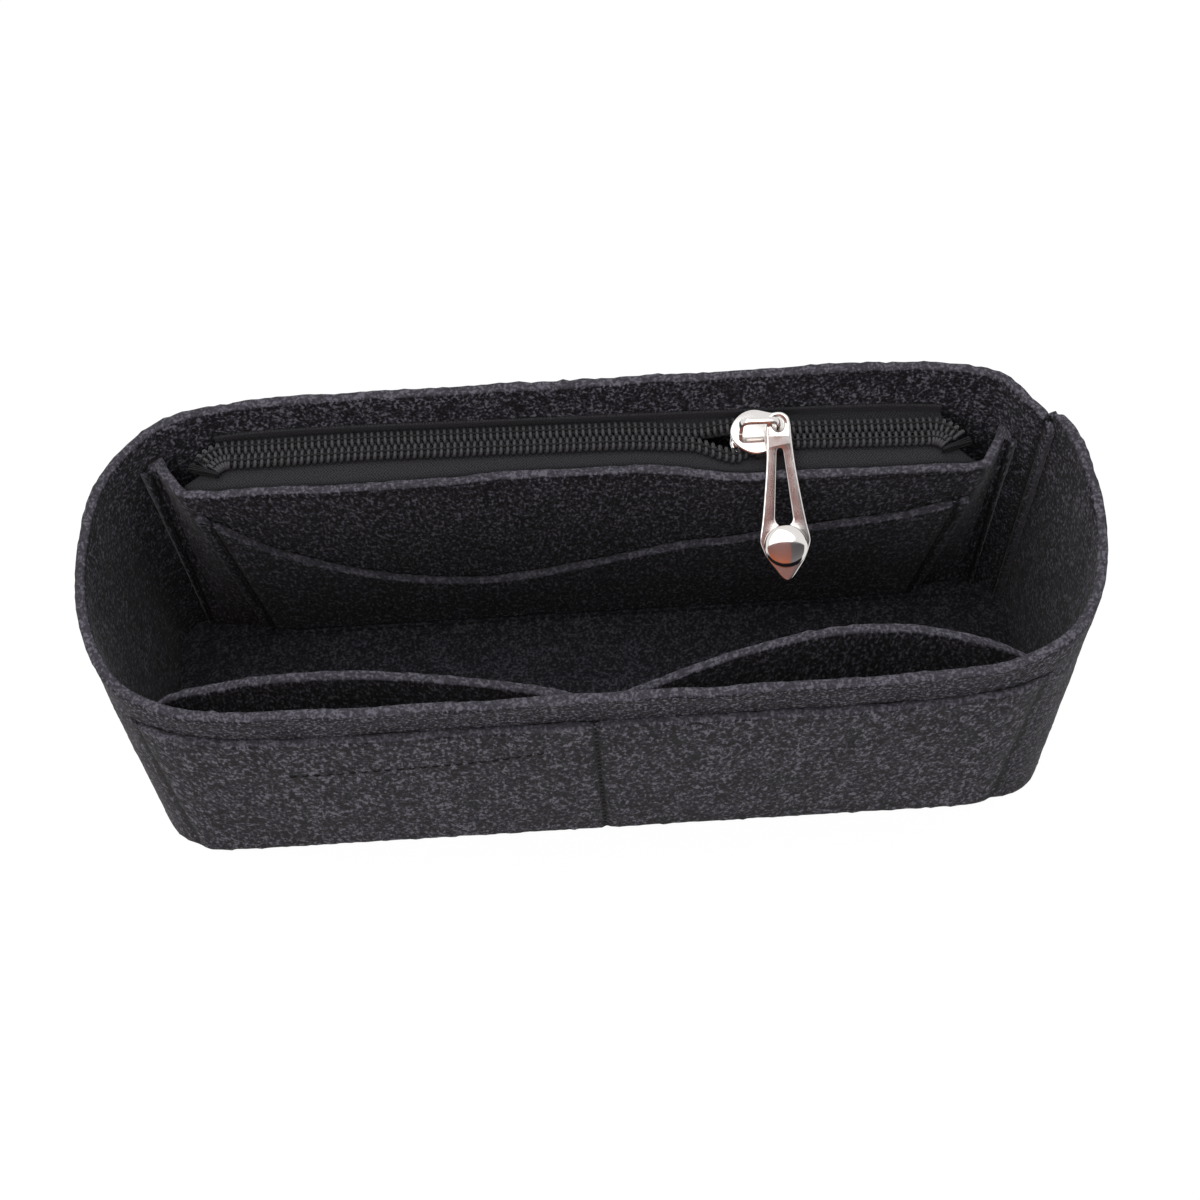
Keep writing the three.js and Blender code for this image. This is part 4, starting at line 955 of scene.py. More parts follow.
def panel_point(share, rise, forward):
    """Between foot and top at a share of the length, moved off the middle towards the front."""
    share, rise, forward = (a[..., None] for a in np.broadcast_arrays(share, rise, forward))

    def at(place):
        """The foot's point times 1 - rise, plus the top's point times rise."""
        return panel_foot_point(place[..., 0]) * (1 - rise) + panel_top_point(place[..., 0]) * rise

    step = at(share + PANEL_STEP_SHARE) - at(share - PANEL_STEP_SHARE)
    off = np.stack([step[..., 1], -step[..., 0], 0 * step[..., 0]], -1)
    return at(share) + off / np.linalg.norm(off, axis=-1, keepdims=True) * forward


def panel_rise(share, up):
    """The share of the way from the foot to the top at a height."""
    return (up - INNER_FOOT) / (panel_top_point(share)[..., 2] - INNER_FOOT)


def zip_panel():
    """The panel between its foot and its top line, and the two flanges, in one mesh."""

    def place(along, up, through):
        """The panel's point at a distance along its top, moved off its middle."""
        share = along / panel_length
        return panel_point(share, panel_rise(share, up), POCKET_FELT / 2 - through)

    columns = np.linspace(0, panel_length, int(panel_length / FELT_GRID))
    shells = [
        felt_shell(
            place,
            columns,
            lambda along: 0 * along + INNER_FOOT,
            lambda along: panel_top_point(along / panel_length)[..., 2],
            POCKET_FELT,
            seed=5,
        )
    ]
    for side in (-1, 1):
        shells.append(flange(side))
    measures = np.vstack([shell[2].reshape(-1, 4) for shell in shells])
    mesh = make_mesh("zip_panel", [shell[:2] for shell in shells], measures)
    add_piece("zip_panel", mesh, charcoal_felt, "tub", ["zip_pocket_panel"])


def flange_along(side, across, up):
    """A distance along the wall on the flange: its line leans from the foot's meeting place to the top's."""
    share = (up - INNER_FOOT) / (panel_end_level(side) - INNER_FOOT)
    meet = (MEET_FOOT_SHARE + (MEET_TOP_SHARE - MEET_FOOT_SHARE) * share) * foot.length
    return side * (meet + across)


def flange(side):
    """The strip that lies on the end wall, from in front of the meeting line to just behind it."""

    def place(across, up, through):
        """The wall's inner face, a seam's gap and the strip's own depth further in."""
        along = flange_along(side, across, up)
        return wall_point(along, up, inside_depth(along) + SEAM_GAP + through)

    return felt_shell(
        place,
        np.linspace(-FLANGE_WIDTH, FLANGE_WIDTH * FLANGE_REAR_SHARE, FLANGE_COLUMNS),
        lambda across: 0 * across + INNER_FOOT,
        lambda across: 0 * across + panel_end_level(side),
        POCKET_FELT,
        seed=6 + side,
        pinch=lambda across, up: groove(across - FLANGE_SEAM_SHARE * FLANGE_WIDTH),
    )


def zip_panel_rows():
    """The front tape's row along the panel's top, and a row down each flange."""
    share = np.linspace(*TAPE_ROW_SHARES, TAPE_ROW_COUNT)
    rise = 1 - SEAM_INSET / ZIP_LEVEL
    points = panel_point(share, rise, POCKET_FELT / 2)
    outs = panel_point(share, rise, POCKET_FELT) - points
    stitch_row("tape_stitches_front", points, outs, "tape_thread_front")
    for side, name in [(-1, "left"), (1, "right")]:
        up = np.linspace(INNER_FOOT + SEAM_END, panel_end_level(side) - SEAM_INSET, ROW_COUNT)
        along = flange_along(side, FLANGE_SEAM_SHARE * FLANGE_WIDTH, up)
        depth = inside_depth(along) + SEAM_GAP + POCKET_FELT - THREAD_GROOVE
        points = wall_point(along, up, depth)
        outs = wall_point(along, up, depth + 1) - points
        stitch_row(f"flange_stitches_{name}", points, outs, f"flange_thread_{name}")


zip_panel()
zip_panel_rows()

# Wave pocket
# A slip pocket is sewn on the front of the zip pocket panel. Its top edge is cut as a long S: high at the
# left end, low left of the middle and rising to the right.
WAVE_SHARES = [
    (-0.81, 0.94),
    (-0.705, 0.69),
    (-0.55, 0.495),
    (-0.37, 0.375),
    (-0.18, 0.35),
    (0.07, 0.46),
    (0.36, 0.62),
    (0.67, 0.71),
    (0.81, 0.8),
]
WAVE_END_SHARE = 0.055
WAVE_SEAM_SHARE = 0.015
WAVE_OPENING, WAVE_OPENING_RATE = 0.5, 1.5

wave_line = smooth_line([(x * FOOT_LENGTH / 2, z * ZIP_LEVEL) for x, z in WAVE_SHARES], 0.0)


def wave_share(across):
    """The share of the panel's length at a share across the pocket."""
    return WAVE_END_SHARE + (1 - 2 * WAVE_END_SHARE) * across


def wave_top(across):
    """The height of the wavy top edge, read from its line at the panel's x."""
    return np.interp(panel_top_point(wave_share(across))[..., 0], wave_line[:, 0], wave_line[:, 1])


def wave_point(across, up, forward):
    """The pocket follows the panel, and stands off it a little between its ends."""
    share = wave_share(across)
    open_share = np.maximum(np.sin(np.pi * across), 0)
    open_share = open_share * ease((up - INNER_FOOT) / ZIP_LEVEL * WAVE_OPENING_RATE)
    stand_off = POCKET_FELT / 2 + SEAM_GAP + WAVE_OPENING * open_share
    return panel_point(share, panel_rise(share, up), stand_off + forward)


def wave_pocket():
    """The pocket from foot to wavy top edge, and a row of tacks at each end."""
    length = panel_length * (1 - 2 * WAVE_END_SHARE)

    def pinch(along, up):
        """The grooves of the two end seams."""
        return sum(groove(along - length * seam) for seam in (WAVE_SEAM_SHARE, 1 - WAVE_SEAM_SHARE))

    shell = felt_shell(
        lambda along, up, through: wave_point(along / length, up, POCKET_FELT - through),
        with_seams(
            np.linspace(0, length, int(length / FELT_GRID)),
            length * WAVE_SEAM_SHARE,
            length * (1 - WAVE_SEAM_SHARE),
        ),
        lambda along: 0 * along + INNER_FOOT,
        lambda along: wave_top(along / length),
        POCKET_FELT,
        seed=9,
        pinch=pinch,
    )
    mesh = make_mesh("wave_pocket", [shell[:2]], shell[2])
    add_piece("wave_pocket", mesh, charcoal_felt, "tub", ["wave_pocket_panel"])
    for name, across in [("left", WAVE_SEAM_SHARE), ("right", 1 - WAVE_SEAM_SHARE)]:
        up = np.linspace(INNER_FOOT + SEAM_END, wave_top(across) - SEAM_INSET, ROW_COUNT)
        points = wave_point(across, up, POCKET_FELT - THREAD_GROOVE)
        outs = wave_point(across, up, 2 * POCKET_FELT) - points
        stitch_row(f"wave_stitches_{name}", points, outs, f"wave_thread_{name}")


wave_pocket()

# Zip tapes
# Two woven tapes carry the coils. The back one runs to the wall and turns up it, where a row sewn through the
# wall holds it. The front one turns down behind the panel. Past the chain's straight part they fan out.
ZIP_LEFT_HALF = 88.5
ZIP_RIGHT_HALF = 87.0
ZIP_END_RADIUS = 6.5
ZIP_END_ANGLE = 1.1
TAPE_FELT = 0.6
TAPE_RISE = 3.0
TAPE_FALL = 7.0
TAPE_GAP = 0.15
COIL_WIDTH = 3.9
CHAIN_GAP = 0.3
CHAIN_SWAY = 1.6
SWAY_SPAN = 2.5 * SLIDER_LENGTH
SWAY_START_SHARE, SWAY_LEFT_SHARE = 0.8, 0.6
SWAY_RIGHT_PART = 3
FRONT_PARTING = 3.4
BACK_PARTING = 1.5
THROAT_PARTING = 1.2
MOUTH_INSET = 1.2
THROAT_PART = 6
MEET_SHARE, PARTING_START_SHARE = 0.45, 2.4
LINE_HALVINGS = 30
TAPE_SECTIONS, BACK_ROW_COUNT = 260, 240
TAPE_BACK_REACH_SHARE, TAPE_END_REACH_SHARE = 0.5, 1.7
TAPE_END_DROP = 2.5
TAPE_COLOURS = (0.005, 0.005, 0.006), (0.045, 0.043, 0.049)
WEAVE, WEAVE_RIBS, WEAVE_DEPTH = 0.8, 1.6, 0.12
TAPE_FUZZ = 0.35
FLOAT_WEIGHT, TAPE_FUZZ_WEIGHT = 0.45, 0.55

chain_left = -ZIP_LEFT_HALF - ZIP_END_RADIUS * ZIP_END_ANGLE
chain_right = ZIP_RIGHT_HALF + ZIP_END_RADIUS * ZIP_END_ANGLE


def sway(x):
    """The chain lies a little nearer the wall left of the slider, and further away towards both ends."""
    back = 1 - ease((x - SLIDER_AT + SWAY_SPAN) / (SWAY_START_SHARE * SWAY_SPAN))
    right = ease((x - SLIDER_AT - SLIDER_LENGTH / 2) / SWAY_SPAN)
    left = ease((-x - ZIP_LEFT_HALF + SWAY_SPAN) / SWAY_SPAN)
    return CHAIN_SWAY * (back - right / SWAY_RIGHT_PART - left * SWAY_LEFT_SHARE)


def parting(x, widest):
    """How far a row stands off the chain's middle: widest at the slider's mouth, and nothing behind it."""
    u, half = x - SLIDER_AT, SLIDER_LENGTH / 2
    mouth, throat = MOUTH_INSET - half, -half / THROAT_PART
    meet, start = half * MEET_SHARE, -half * PARTING_START_SHARE
    opening = widest * ease((u - start) / (mouth - start))
    closing = widest + (THROAT_PARTING - widest) * ease((u - mouth) / (throat - mouth))
    closed = THROAT_PARTING * (1 - ease((u - throat) / (meet - throat)))
    return np.where(u < mouth, opening, np.where(u < throat, closing, closed))


def chain_point(place, side, off, w):
    """Beside the chain: it is straight, and turns forward in an arc at each end. Side 1 is the back row."""
    place, off, w = np.broadcast_arrays(place, off, w)
    half = np.where(place > 0, ZIP_RIGHT_HALF, ZIP_LEFT_HALF)
    end = np.where(place > 0, 1, -1)
    turn = np.maximum(np.abs(place) - half, 0) / ZIP_END_RADIUS
    straight = turn == 0
    x = np.where(straight, place, end * (half + ZIP_END_RADIUS * np.sin(turn)))
    v = np.where(straight, sway(place), sway(end * half) - ZIP_END_RADIUS * (1 - np.cos(turn)))
    reach = side * (CHAIN_GAP / 2 + parting(x, BACK_PARTING if side > 0 else FRONT_PARTING) + off)
    return zip_point(x + end * np.sin(turn) * reach, v + np.cos(turn) * reach, w)


def beside_zip(x, low, high, spot):
    """The v of a line at each x of the zip's frame, found by halving between two places on the line."""
    low, high = np.full(np.shape(x), float(low)), np.full(np.shape(x), float(high))
    falling = to_zip(spot(high))[..., 0] < to_zip(spot(low))[..., 0]
    for _ in range(LINE_HALVINGS):
        middle = (low + high) / 2
        before = (to_zip(spot(middle))[..., 0] < x) != falling
        low, high = np.where(before, middle, low), np.where(before, high, middle)
    return to_zip(spot((low + high) / 2))[..., 1]


def back_wall_v(x, w, depth):
    """The v of the back wall at a depth inside it, at the level of w above the tapes."""
    level = zip_point(x, 0, w)[..., 2]
    middle, reach = foot.length / 2, FOOT_LENGTH / 2
    return beside_zip(x, middle - reach, middle + reach, lambda along: wall_point(along, level, depth))


def panel_back_v(x, w):
    """The v of the zip panel's rear face at the level of w above the tapes."""
    rise = (zip_point(x, 0, w)[..., 2] - INNER_FOOT) / (panel_top(x) - INNER_FOOT)
    rise = np.minimum(rise, 1)
    return beside_zip(x, 0, 1, lambda share: panel_point(share, rise, -POCKET_FELT / 2))


def tape_look():
    """Woven polyester: a herringbone of fine slanting floats, with the warp along the tape."""
    look = new_look("zip_tape")
    at = look.node("ShaderNodeAttribute", {"attribute_name": "felt_at"}, {}, "Vector")
    along = look.node("ShaderNodeSeparateXYZ", {}, {0: at}, 0) * (1 / (WEAVE * MM))
    across = look.node("ShaderNodeSeparateXYZ", {}, {0: at}, 1) * (1 / (WEAVE * MM))
    rib = across.math("PINGPONG", across, WEAVE_RIBS)
    turn = (along + rib) * (2 * np.pi)
    wave = turn.math("SINE", turn) * 0.5 + 0.5
    fuzz = look.noise(at, 1 / (TAPE_FUZZ * MM), 2.0).between(0.3, 0.7)
    colour = look.blend(wave * FLOAT_WEIGHT + fuzz * TAPE_FUZZ_WEIGHT, *TAPE_COLOURS)
    values = {"Strength": 0.5, "Distance": WEAVE_DEPTH * MM, "Height": wave + fuzz}
    bump = look.node("ShaderNodeBump", {}, values)
    return look.set(Base_Color=colour, Roughness=0.9, Normal=bump, Specular_IOR_Level=0.25).owner


zip_tape = tape_look()


def tape_shell(points):
    """A thin band from lines across it: each point is doubled, a tape's thickness off along the normal."""
    along = np.gradient(points, axis=0)
    across = np.gradient(points, axis=1)
    normal = np.cross(along, across)
    normal /= np.linalg.norm(normal, axis=-1, keepdims=True)
    back = points + normal * TAPE_FELT * np.where(normal[..., 2:].mean() > 0, -1, 1)
    rings = np.concatenate([points, back[:, ::-1]], axis=1)
    reach = np.append(0, np.cumsum(np.linalg.norm(np.diff(points, axis=1), axis=-1).mean(0)))
    length = np.append(0, np.cumsum(np.linalg.norm(np.diff(points, axis=0), axis=-1).mean(1)))
    reach = np.append(reach, reach[::-1])
    none = 0 * reach[None]
    measures = np.stack(np.broadcast_arrays(length[:, None], reach[None], none, none), -1)
    return rings, grid_faces(*rings.shape[:2]), measures


def band_line(corners, fillet_share=0.3, count=5):
    """A bent line across a tape from three corner points: straight, a rounded bend, and straight."""
    start, bend, stop = corners
    share = np.linspace(0, 1, count)[:, None, None]
    enter, leave = bend + (start - bend) * fillet_share, bend + (stop - bend) * fillet_share
    curve = (1 - share) ** 2 * enter + 2 * share * (1 - share) * bend + share**2 * leave
    first = start + (enter - start) * share[:-1]
    last = leave + (stop - leave) * share[1:]
    return np.moveaxis(np.concatenate([first, curve, last]), 0, 1)


def zip_tapes():
    """Each tape is a line across it, bent once, for every place on the chain. The ends spread by shares."""
    place = np.linspace(chain_left, chain_right, TAPE_SECTIONS)
    half = np.where(place > 0, ZIP_RIGHT_HALF, ZIP_LEFT_HALF)
    past = np.maximum(np.abs(place) - half, 0)
    outer = np.sign(place) * (np.minimum(np.abs(place), half) + past * TAPE_BACK_REACH_SHARE)
    foot_v = back_wall_v(outer, -TAPE_FELT, WALL_FELT + TAPE_GAP) - TAPE_FELT
    top_v = back_wall_v(outer, TAPE_RISE, WALL_FELT + TAPE_GAP) - TAPE_FELT
    back = [chain_point(place, 1, 0, 0), zip_point(outer, foot_v, 0), zip_point(outer, top_v, TAPE_RISE)]
    outer = outer + np.sign(place) * past * (TAPE_END_REACH_SHARE - TAPE_BACK_REACH_SHARE)
    bend = -TAPE_END_DROP * (past / past.max()) ** 2
    edge = bend - TAPE_FALL
    high, low = (panel_back_v(outer, level) + SEAM_GAP for level in (bend, edge))
    front = [chain_point(place, -1, 0, 0), zip_point(outer, high, bend), zip_point(outer, low, edge)]
    for name, line in [("back", back), ("front", front)]:
        points, faces, measures = tape_shell(band_line(line))
        mesh = make_mesh(f"tape_{name}", [(points, faces)], measures)
        add_piece(f"tape_{name}", mesh, zip_tape, "tub", [f"zip_tape_{name}"])


zip_tapes()


def tape_row_back():
    """The back tape's row shows on the outside of the back wall."""
    along = foot.length / 2 + np.linspace(ZIP_LEFT_HALF, -ZIP_RIGHT_HALF, BACK_ROW_COUNT)
    x = wall_point(along, ZIP_LEVEL, 0)[..., 0]
    up = zip_point(x, 0, TAPE_RISE / 2)[..., 2]
    points = wall_point(along, up, 0)
    stitch_row("tape_stitches_back", points, points - wall_point(along, up, 1), "tape_thread_back")


tape_row_back()

# Coils
# Each row is one nylon monofilament wound into a flat coil. The bars on top end in heads that reach between
# the heads of the other row. A line of sewing runs over each row and holds it to its tape.
COIL_PITCH = 1.65
COIL_LIFT = 0.15
FILAMENT_TALL, FILAMENT_WIDE = 0.46, 0.5
TURN_STEPS = 14
FILAMENT_SIDES = 6
HEAD_REACH = 0.4
BAR_LEAN = 0.3
COIL_ACROSS_POWER, COIL_RISE_POWER = 0.7, 0.5
END_CROWD_SHARE = 0.35
COIL_GRID = 2000
CORD_OFF = 1.9
CORD_RADIUS = 0.28
CORD_SUNK, CORD_BOB = 0.15, 0.12
CORD_STEPS, CORD_SIDES = 6, 8
CORE_HALF, CORE_RADIUS = 1.1, 0.5
NYLON, NYLON_PALER = (0.03, 0.029, 0.033), 1.6
MARK_SIZE, MARK_DEPTH = 0.5, 0.03
CORD_COLOUR = (0.008, 0.008, 0.009)


def nylon_look():
    """Moulded nylon: black and smooth, with a soft gloss and faint drawing marks."""
    look = new_look("nylon_coil")
    at = look.node("ShaderNodeTexCoord", {}, {}, "Object")
    marks = look.noise(at, 1 / (MARK_SIZE * MM), 2.0)
    colour = look.blend(marks.between(0.3, 0.7), NYLON, tuple(NYLON_PALER * c for c in NYLON))
    bump = look.node("ShaderNodeBump", {}, {"Strength": 0.15, "Distance": MARK_DEPTH * MM, "Height": marks})
    look.set(Base_Color=colour, Roughness=marks * 0.15 + 0.45, Normal=bump, Specular_IOR_Level=0.35)
    return look.owner


nylon_coil = nylon_look()
coil_cord = thread_look("coil_cord", CORD_COLOUR)


def coil_places(turn, shift):
    """Where each turn lies along the chain: evenly, and closer by a share past the straight part's ends."""
    grid = np.linspace(chain_left, chain_right, COIL_GRID)
    past = (grid > ZIP_RIGHT_HALF) | (grid < -ZIP_LEFT_HALF)
    turns = np.cumsum(1 + END_CROWD_SHARE * past) * (grid[1] - grid[0]) / COIL_PITCH
    return np.interp(turn + shift, turns, grid), turns[-1]


def signed_power(value, power):
    """A power of the value's size that keeps its sign, which makes a circle squarer."""
    return np.sign(value) * np.abs(value) ** power


def coil_line(turn, side):
    """The filament's centre: from a head along the bottom to the outer bend, and back over the top.

    Across and up follow the powers of cosine and sine. The top bar leans: its outer end lies a share of the
    pitch before its head. The back row's turns lie half a pitch on, between those of the front row.
    """
    angle = 2 * np.pi * turn
    outer, inner = COIL_WIDTH - FILAMENT_TALL, FILAMENT_TALL - HEAD_REACH
    bottom, top = COIL_LIFT + FILAMENT_TALL, COIL_LIFT + COIL_HEIGHT - FILAMENT_TALL
    across = signed_power(np.cos(angle), COIL_ACROSS_POWER)
    rise = -signed_power(np.sin(angle), COIL_RISE_POWER)
    shift = 0.5 if side > 0 else 0.0
    place = coil_places(turn, shift + BAR_LEAN * (1 - np.cos(angle)) / 2)[0]
    off = (outer + inner) / 2 - (outer - inner) / 2 * across
    return place, off, (top + bottom) / 2 + (top - bottom) / 2 * rise


def coil_tube(turn, side):
    """Oval rings round the filament's centre, kept in step by the direction along the chain."""
    place, off, w = coil_line(turn, side)
    centre = chain_point(place, side, off, w)
    tangent = np.gradient(centre, axis=0)
    tangent /= np.linalg.norm(tangent, axis=1, keepdims=True)
    lengthwise = chain_point(place + COIL_PITCH, side, off, w) - centre
    lengthwise -= tangent * np.sum(lengthwise * tangent, axis=1, keepdims=True)
    lengthwise /= np.linalg.norm(lengthwise, axis=1, keepdims=True)
    out = np.cross(tangent, lengthwise)
    angle = np.linspace(0, 2 * np.pi, FILAMENT_SIDES, endpoint=False)[:, None]
    ring = lengthwise[:, None] * np.cos(angle) * FILAMENT_WIDE + out[:, None] * np.sin(angle) * FILAMENT_TALL
    return centre[:, None] + ring


def tube(centre, radius, sides, flatten=1.0, upright=(0, 0, 1)):
    """Rings round a line of points, each one across the line, wide across the upright and 1 tall along it."""
    along = np.gradient(centre, axis=0)
    along /= np.linalg.norm(along, axis=1, keepdims=True)
    guide = np.cross(along, upright)
    guide /= np.linalg.norm(guide, axis=1, keepdims=True)
    other = np.cross(guide, along)
    angle = np.linspace(0, 2 * np.pi, sides, endpoint=False)[:, None]
    ring = guide[:, None] * np.cos(angle) * flatten + other[:, None] * np.sin(angle)
    return centre[:, None] + ring * radius


def coil_rows():
    """Each row is a tube wound along the chain, with a cord that bobs over its bars and a core inside."""
    turns = int(coil_places(0, 0)[1]) - 1
    turn = np.linspace(0, turns, turns * TURN_STEPS + 1)
    for side, name in [(1, "back"), (-1, "front")]:
        shells = [(coil_tube(turn, side), grid_faces(len(turn), FILAMENT_SIDES))]
        mesh = make_mesh(f"coil_{name}", shells)
        add_piece(f"coil_{name}", mesh, nylon_coil, "tub", [f"zip_coil_{name}"])
        place = np.linspace(chain_left + COIL_PITCH / 2, chain_right - COIL_PITCH, turns * CORD_STEPS)
        bob = CORD_BOB * np.cos(4 * np.pi * (place - chain_left) / COIL_PITCH)
        sewing = chain_point(place, side, CORD_OFF, COIL_LIFT + COIL_HEIGHT - CORD_SUNK + bob)
        core = chain_point(place, side, CORD_OFF, COIL_LIFT + COIL_HEIGHT / 2)
        tubes = [tube(sewing, CORD_RADIUS, CORD_SIDES)]
        tubes.append(tube(core, CORE_RADIUS, CORD_SIDES, CORE_HALF / CORE_RADIUS))
        faces = grid_faces(len(place), CORD_SIDES)
        mesh = make_mesh(f"coil_sewing_{name}", [(points, faces) for points in tubes])
        mesh.materials.append(coil_cord)
        piece = new_object(f"coil_sewing_{name}", mesh)
        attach(piece, "tub")


coil_rows()

# End stops
# A sewn bar crosses both rows just past the last turn of each end and keeps the slider on the chain.
STOP_LENGTH = 1.2
STOP_WRAPS, WRAP_STEPS, WRAP_SIDES = 3, 40, 8
WRAP_RADIUS, WRAP_INSET = 0.21, 0.2
WRAP_ACROSS_POWER, WRAP_RISE_POWER = 0.6, 0.5
RUNNING_GAP = 0.3


def end_stops():
    """Wraps of thread side by side across the chain: a slab in the chain's frame with a ribbed top."""
    angle = np.linspace(0, 2 * np.pi, WRAP_STEPS)
    half = CHAIN_GAP / 2 + COIL_WIDTH
    off = signed_power(np.cos(angle), WRAP_ACROSS_POWER) * (half - WRAP_INSET) - CHAIN_GAP / 2
    rise = signed_power(np.sin(angle), WRAP_RISE_POWER) * (COIL_HEIGHT / 2 - WRAP_INSET)
    faces = grid_faces(WRAP_STEPS - 1, WRAP_SIDES, loop=True)
    for name, end in [("left", chain_left), ("right", chain_right)]:
        way = np.sign(end)
        wraps = []
        for k in range(STOP_WRAPS):
            place = end + way * (RUNNING_GAP + STOP_LENGTH * (k + 0.5) / STOP_WRAPS)
            line = chain_point(place, 1, off, COIL_LIFT + COIL_HEIGHT / 2 + rise)
            lengthwise = chain_point(place + way, 1, 0, 0) - chain_point(place, 1, 0, 0)
            wraps.append((tube(line[:-1], WRAP_RADIUS, WRAP_SIDES, upright=lengthwise), faces))
        mesh = make_mesh(f"end_stop_{name}", wraps)
        add_piece(f"end_stop_{name}", mesh, black_thread, "tub", [f"zip_stop_{name}"])


end_stops()

# Slider
# A die-cast body with two plates, a wedge that parts the rows and guides along its sides, and a bent crown on
# top that holds the pull. All of it is plated bright nickel.
TAIL_WIDTH = 10.2
PLATE = 1.2
GUIDE = 0.8
GUIDE_GAP = 0.225
CROWN_WIDTH = 1.8
CROWN_THICK = 1.2
CROWN_INSIDE = 4.3
CROWN_LEFT = 5.184
LEG_INSET = 2.0
CROWN_BEND = 1.92
PLATE_DOME = 0.15
TOP_EDGE, BOTTOM_EDGE, WEDGE_EDGE, GUIDE_EDGE = 0.45, 0.4, 0.1, 0.12
EDGE_STEPS, UNDER_RINGS, OVER_RINGS = 11, 6, 8
SUNK_LOW, SUNK_HIGH = 0.2, 0.3
NOSE_SHARES = [(-1, 0), (-0.97, 0.5), (-0.55, 1), (-0.12, 1)]
WAIST_SHARES = (-0.12, 0.2, 0.35, 0.85)
TAIL_SHARES = [(0.85, 1), (0.95, 1), (1, 0.93), (1, 0.8)]
TAIL_COUNT = 5
WEDGE_LENGTH_SHARES = (-0.9, -0.8, -0.6, -0.35, -0.2, -0.1, 0)
WEDGE_HALF_WIDTHS = (0, 0.9, 1.1, 1.1, 0.7, 0.3, 0)
WEDGE_NOSE_COUNT, WEDGE_TAIL_COUNT = 6, 4
GUIDE_SHARES = (-0.15, 0.3, 0.96, 0.96, 0.45, -0.15)
LEG_SUNK = 0.1
BEND_STEPS, LEG_STEPS, OVER_STEPS = 9, 6, 8
CROWN_SIDES, CROWN_POWER = 20, 0.6
NICKEL, SMEAR_DARKER = (0.80, 0.765, 0.745), 0.9
SMEAR_SIZE, BUFFING_SIZE, BUFFING_STRETCH = 4, 3, (1, 12, 1)

plate_low = COIL_LIFT + COIL_HEIGHT + RUNNING_GAP
plate_top = plate_low + PLATE
plate_floor = -TAPE_FELT - RUNNING_GAP


def nickel_look():
    """Plated nickel: warm white metal with faint smears and fine buffing lines."""
    look = new_look("bright_nickel")
    at = look.node("ShaderNodeTexCoord", {}, {}, "Object")
    smear = look.noise(at, 1 / (SMEAR_SIZE * MM), 3.0)
    stretched = look.node("ShaderNodeMapping", {}, {"Vector": at, "Scale": BUFFING_STRETCH})
    lines = look.noise(stretched, 1 / (BUFFING_SIZE * MM), 2.0)
    colour = look.blend(smear, NICKEL, tuple(SMEAR_DARKER * c for c in NICKEL))
    bump = look.node("ShaderNodeBump", {}, {"Strength": 0.05, "Distance": 0.02 * MM, "Height": lines})
    look.set(Base_Color=colour, Metallic=1.0, Roughness=smear * 0.12 + 0.06, Normal=bump)
    return look.owner


bright_nickel = nickel_look()


def slider_point(points):
    """From the slider's own u, v and w to the part's frame."""
    points = np.asarray(points, float)
    return zip_point(SLIDER_AT + points[..., 0], points[..., 1], points[..., 2])


def bezier(p0, p1, p2, p3, count=14):
    """A Bezier cubic from p0 to p3 without its last point: powers of t and 1 - t weigh the four points."""
    t = np.linspace(0, 1, count, endpoint=False)[:, None]
    return (1 - t) ** 3 * p0 + 3 * (1 - t) ** 2 * t * p1 + 3 * (1 - t) * t**2 * p2 + t**3 * p3


def plate_outline(inset):
    """One side from the round nose over the widest place to the narrower tail, then its mirror image."""
    half, wide, tail = SLIDER_LENGTH / 2 - inset, SLIDER_WIDTH / 2 - inset, TAIL_WIDTH / 2 - inset
    nose = np.array(NOSE_SHARES) * [half, wide]
    waist = np.stack([np.array(WAIST_SHARES) * half, [wide, wide, tail, tail]], -1)
    end = np.array(TAIL_SHARES) * [half, tail]
    side = np.vstack([bezier(*nose), bezier(*waist), bezier(*end, TAIL_COUNT), end[-1:]])
    return np.vstack([side, side[:0:-1] * [1, -1]])


def rounded_plate(outline, low, high, edge, dome=0.0):
    """A plate with rounded edges: its outline shrinks about the middle over the edge and rises to a dome."""
    turn = np.linspace(-np.pi / 2, np.pi / 2, EDGE_STEPS)
    middle = outline.mean(0)
    reach = np.linalg.norm(outline - middle, axis=1).mean()
    under = np.linspace(0, 1 - edge / reach, UNDER_RINGS)[:-1]
    over = np.linspace(1 - edge / reach, 0, OVER_RINGS)[1:]
    scales = np.concatenate([under, 1 - edge / reach * (1 - np.cos(turn)), over])
    rounded = np.where(turn < 0, low + edge, high - edge) + edge * np.sin(turn)
    domed = high + dome * (1 - (over * reach / (reach - edge)) ** 2)
    heights = np.concatenate([low + 0 * under, rounded, domed])
    flat = middle + (outline - middle) * scales[:, None, None]
    tall = np.broadcast_to(heights[:, None, None], (*flat.shape[:2], 1))
    return np.concatenate([flat, tall], -1)


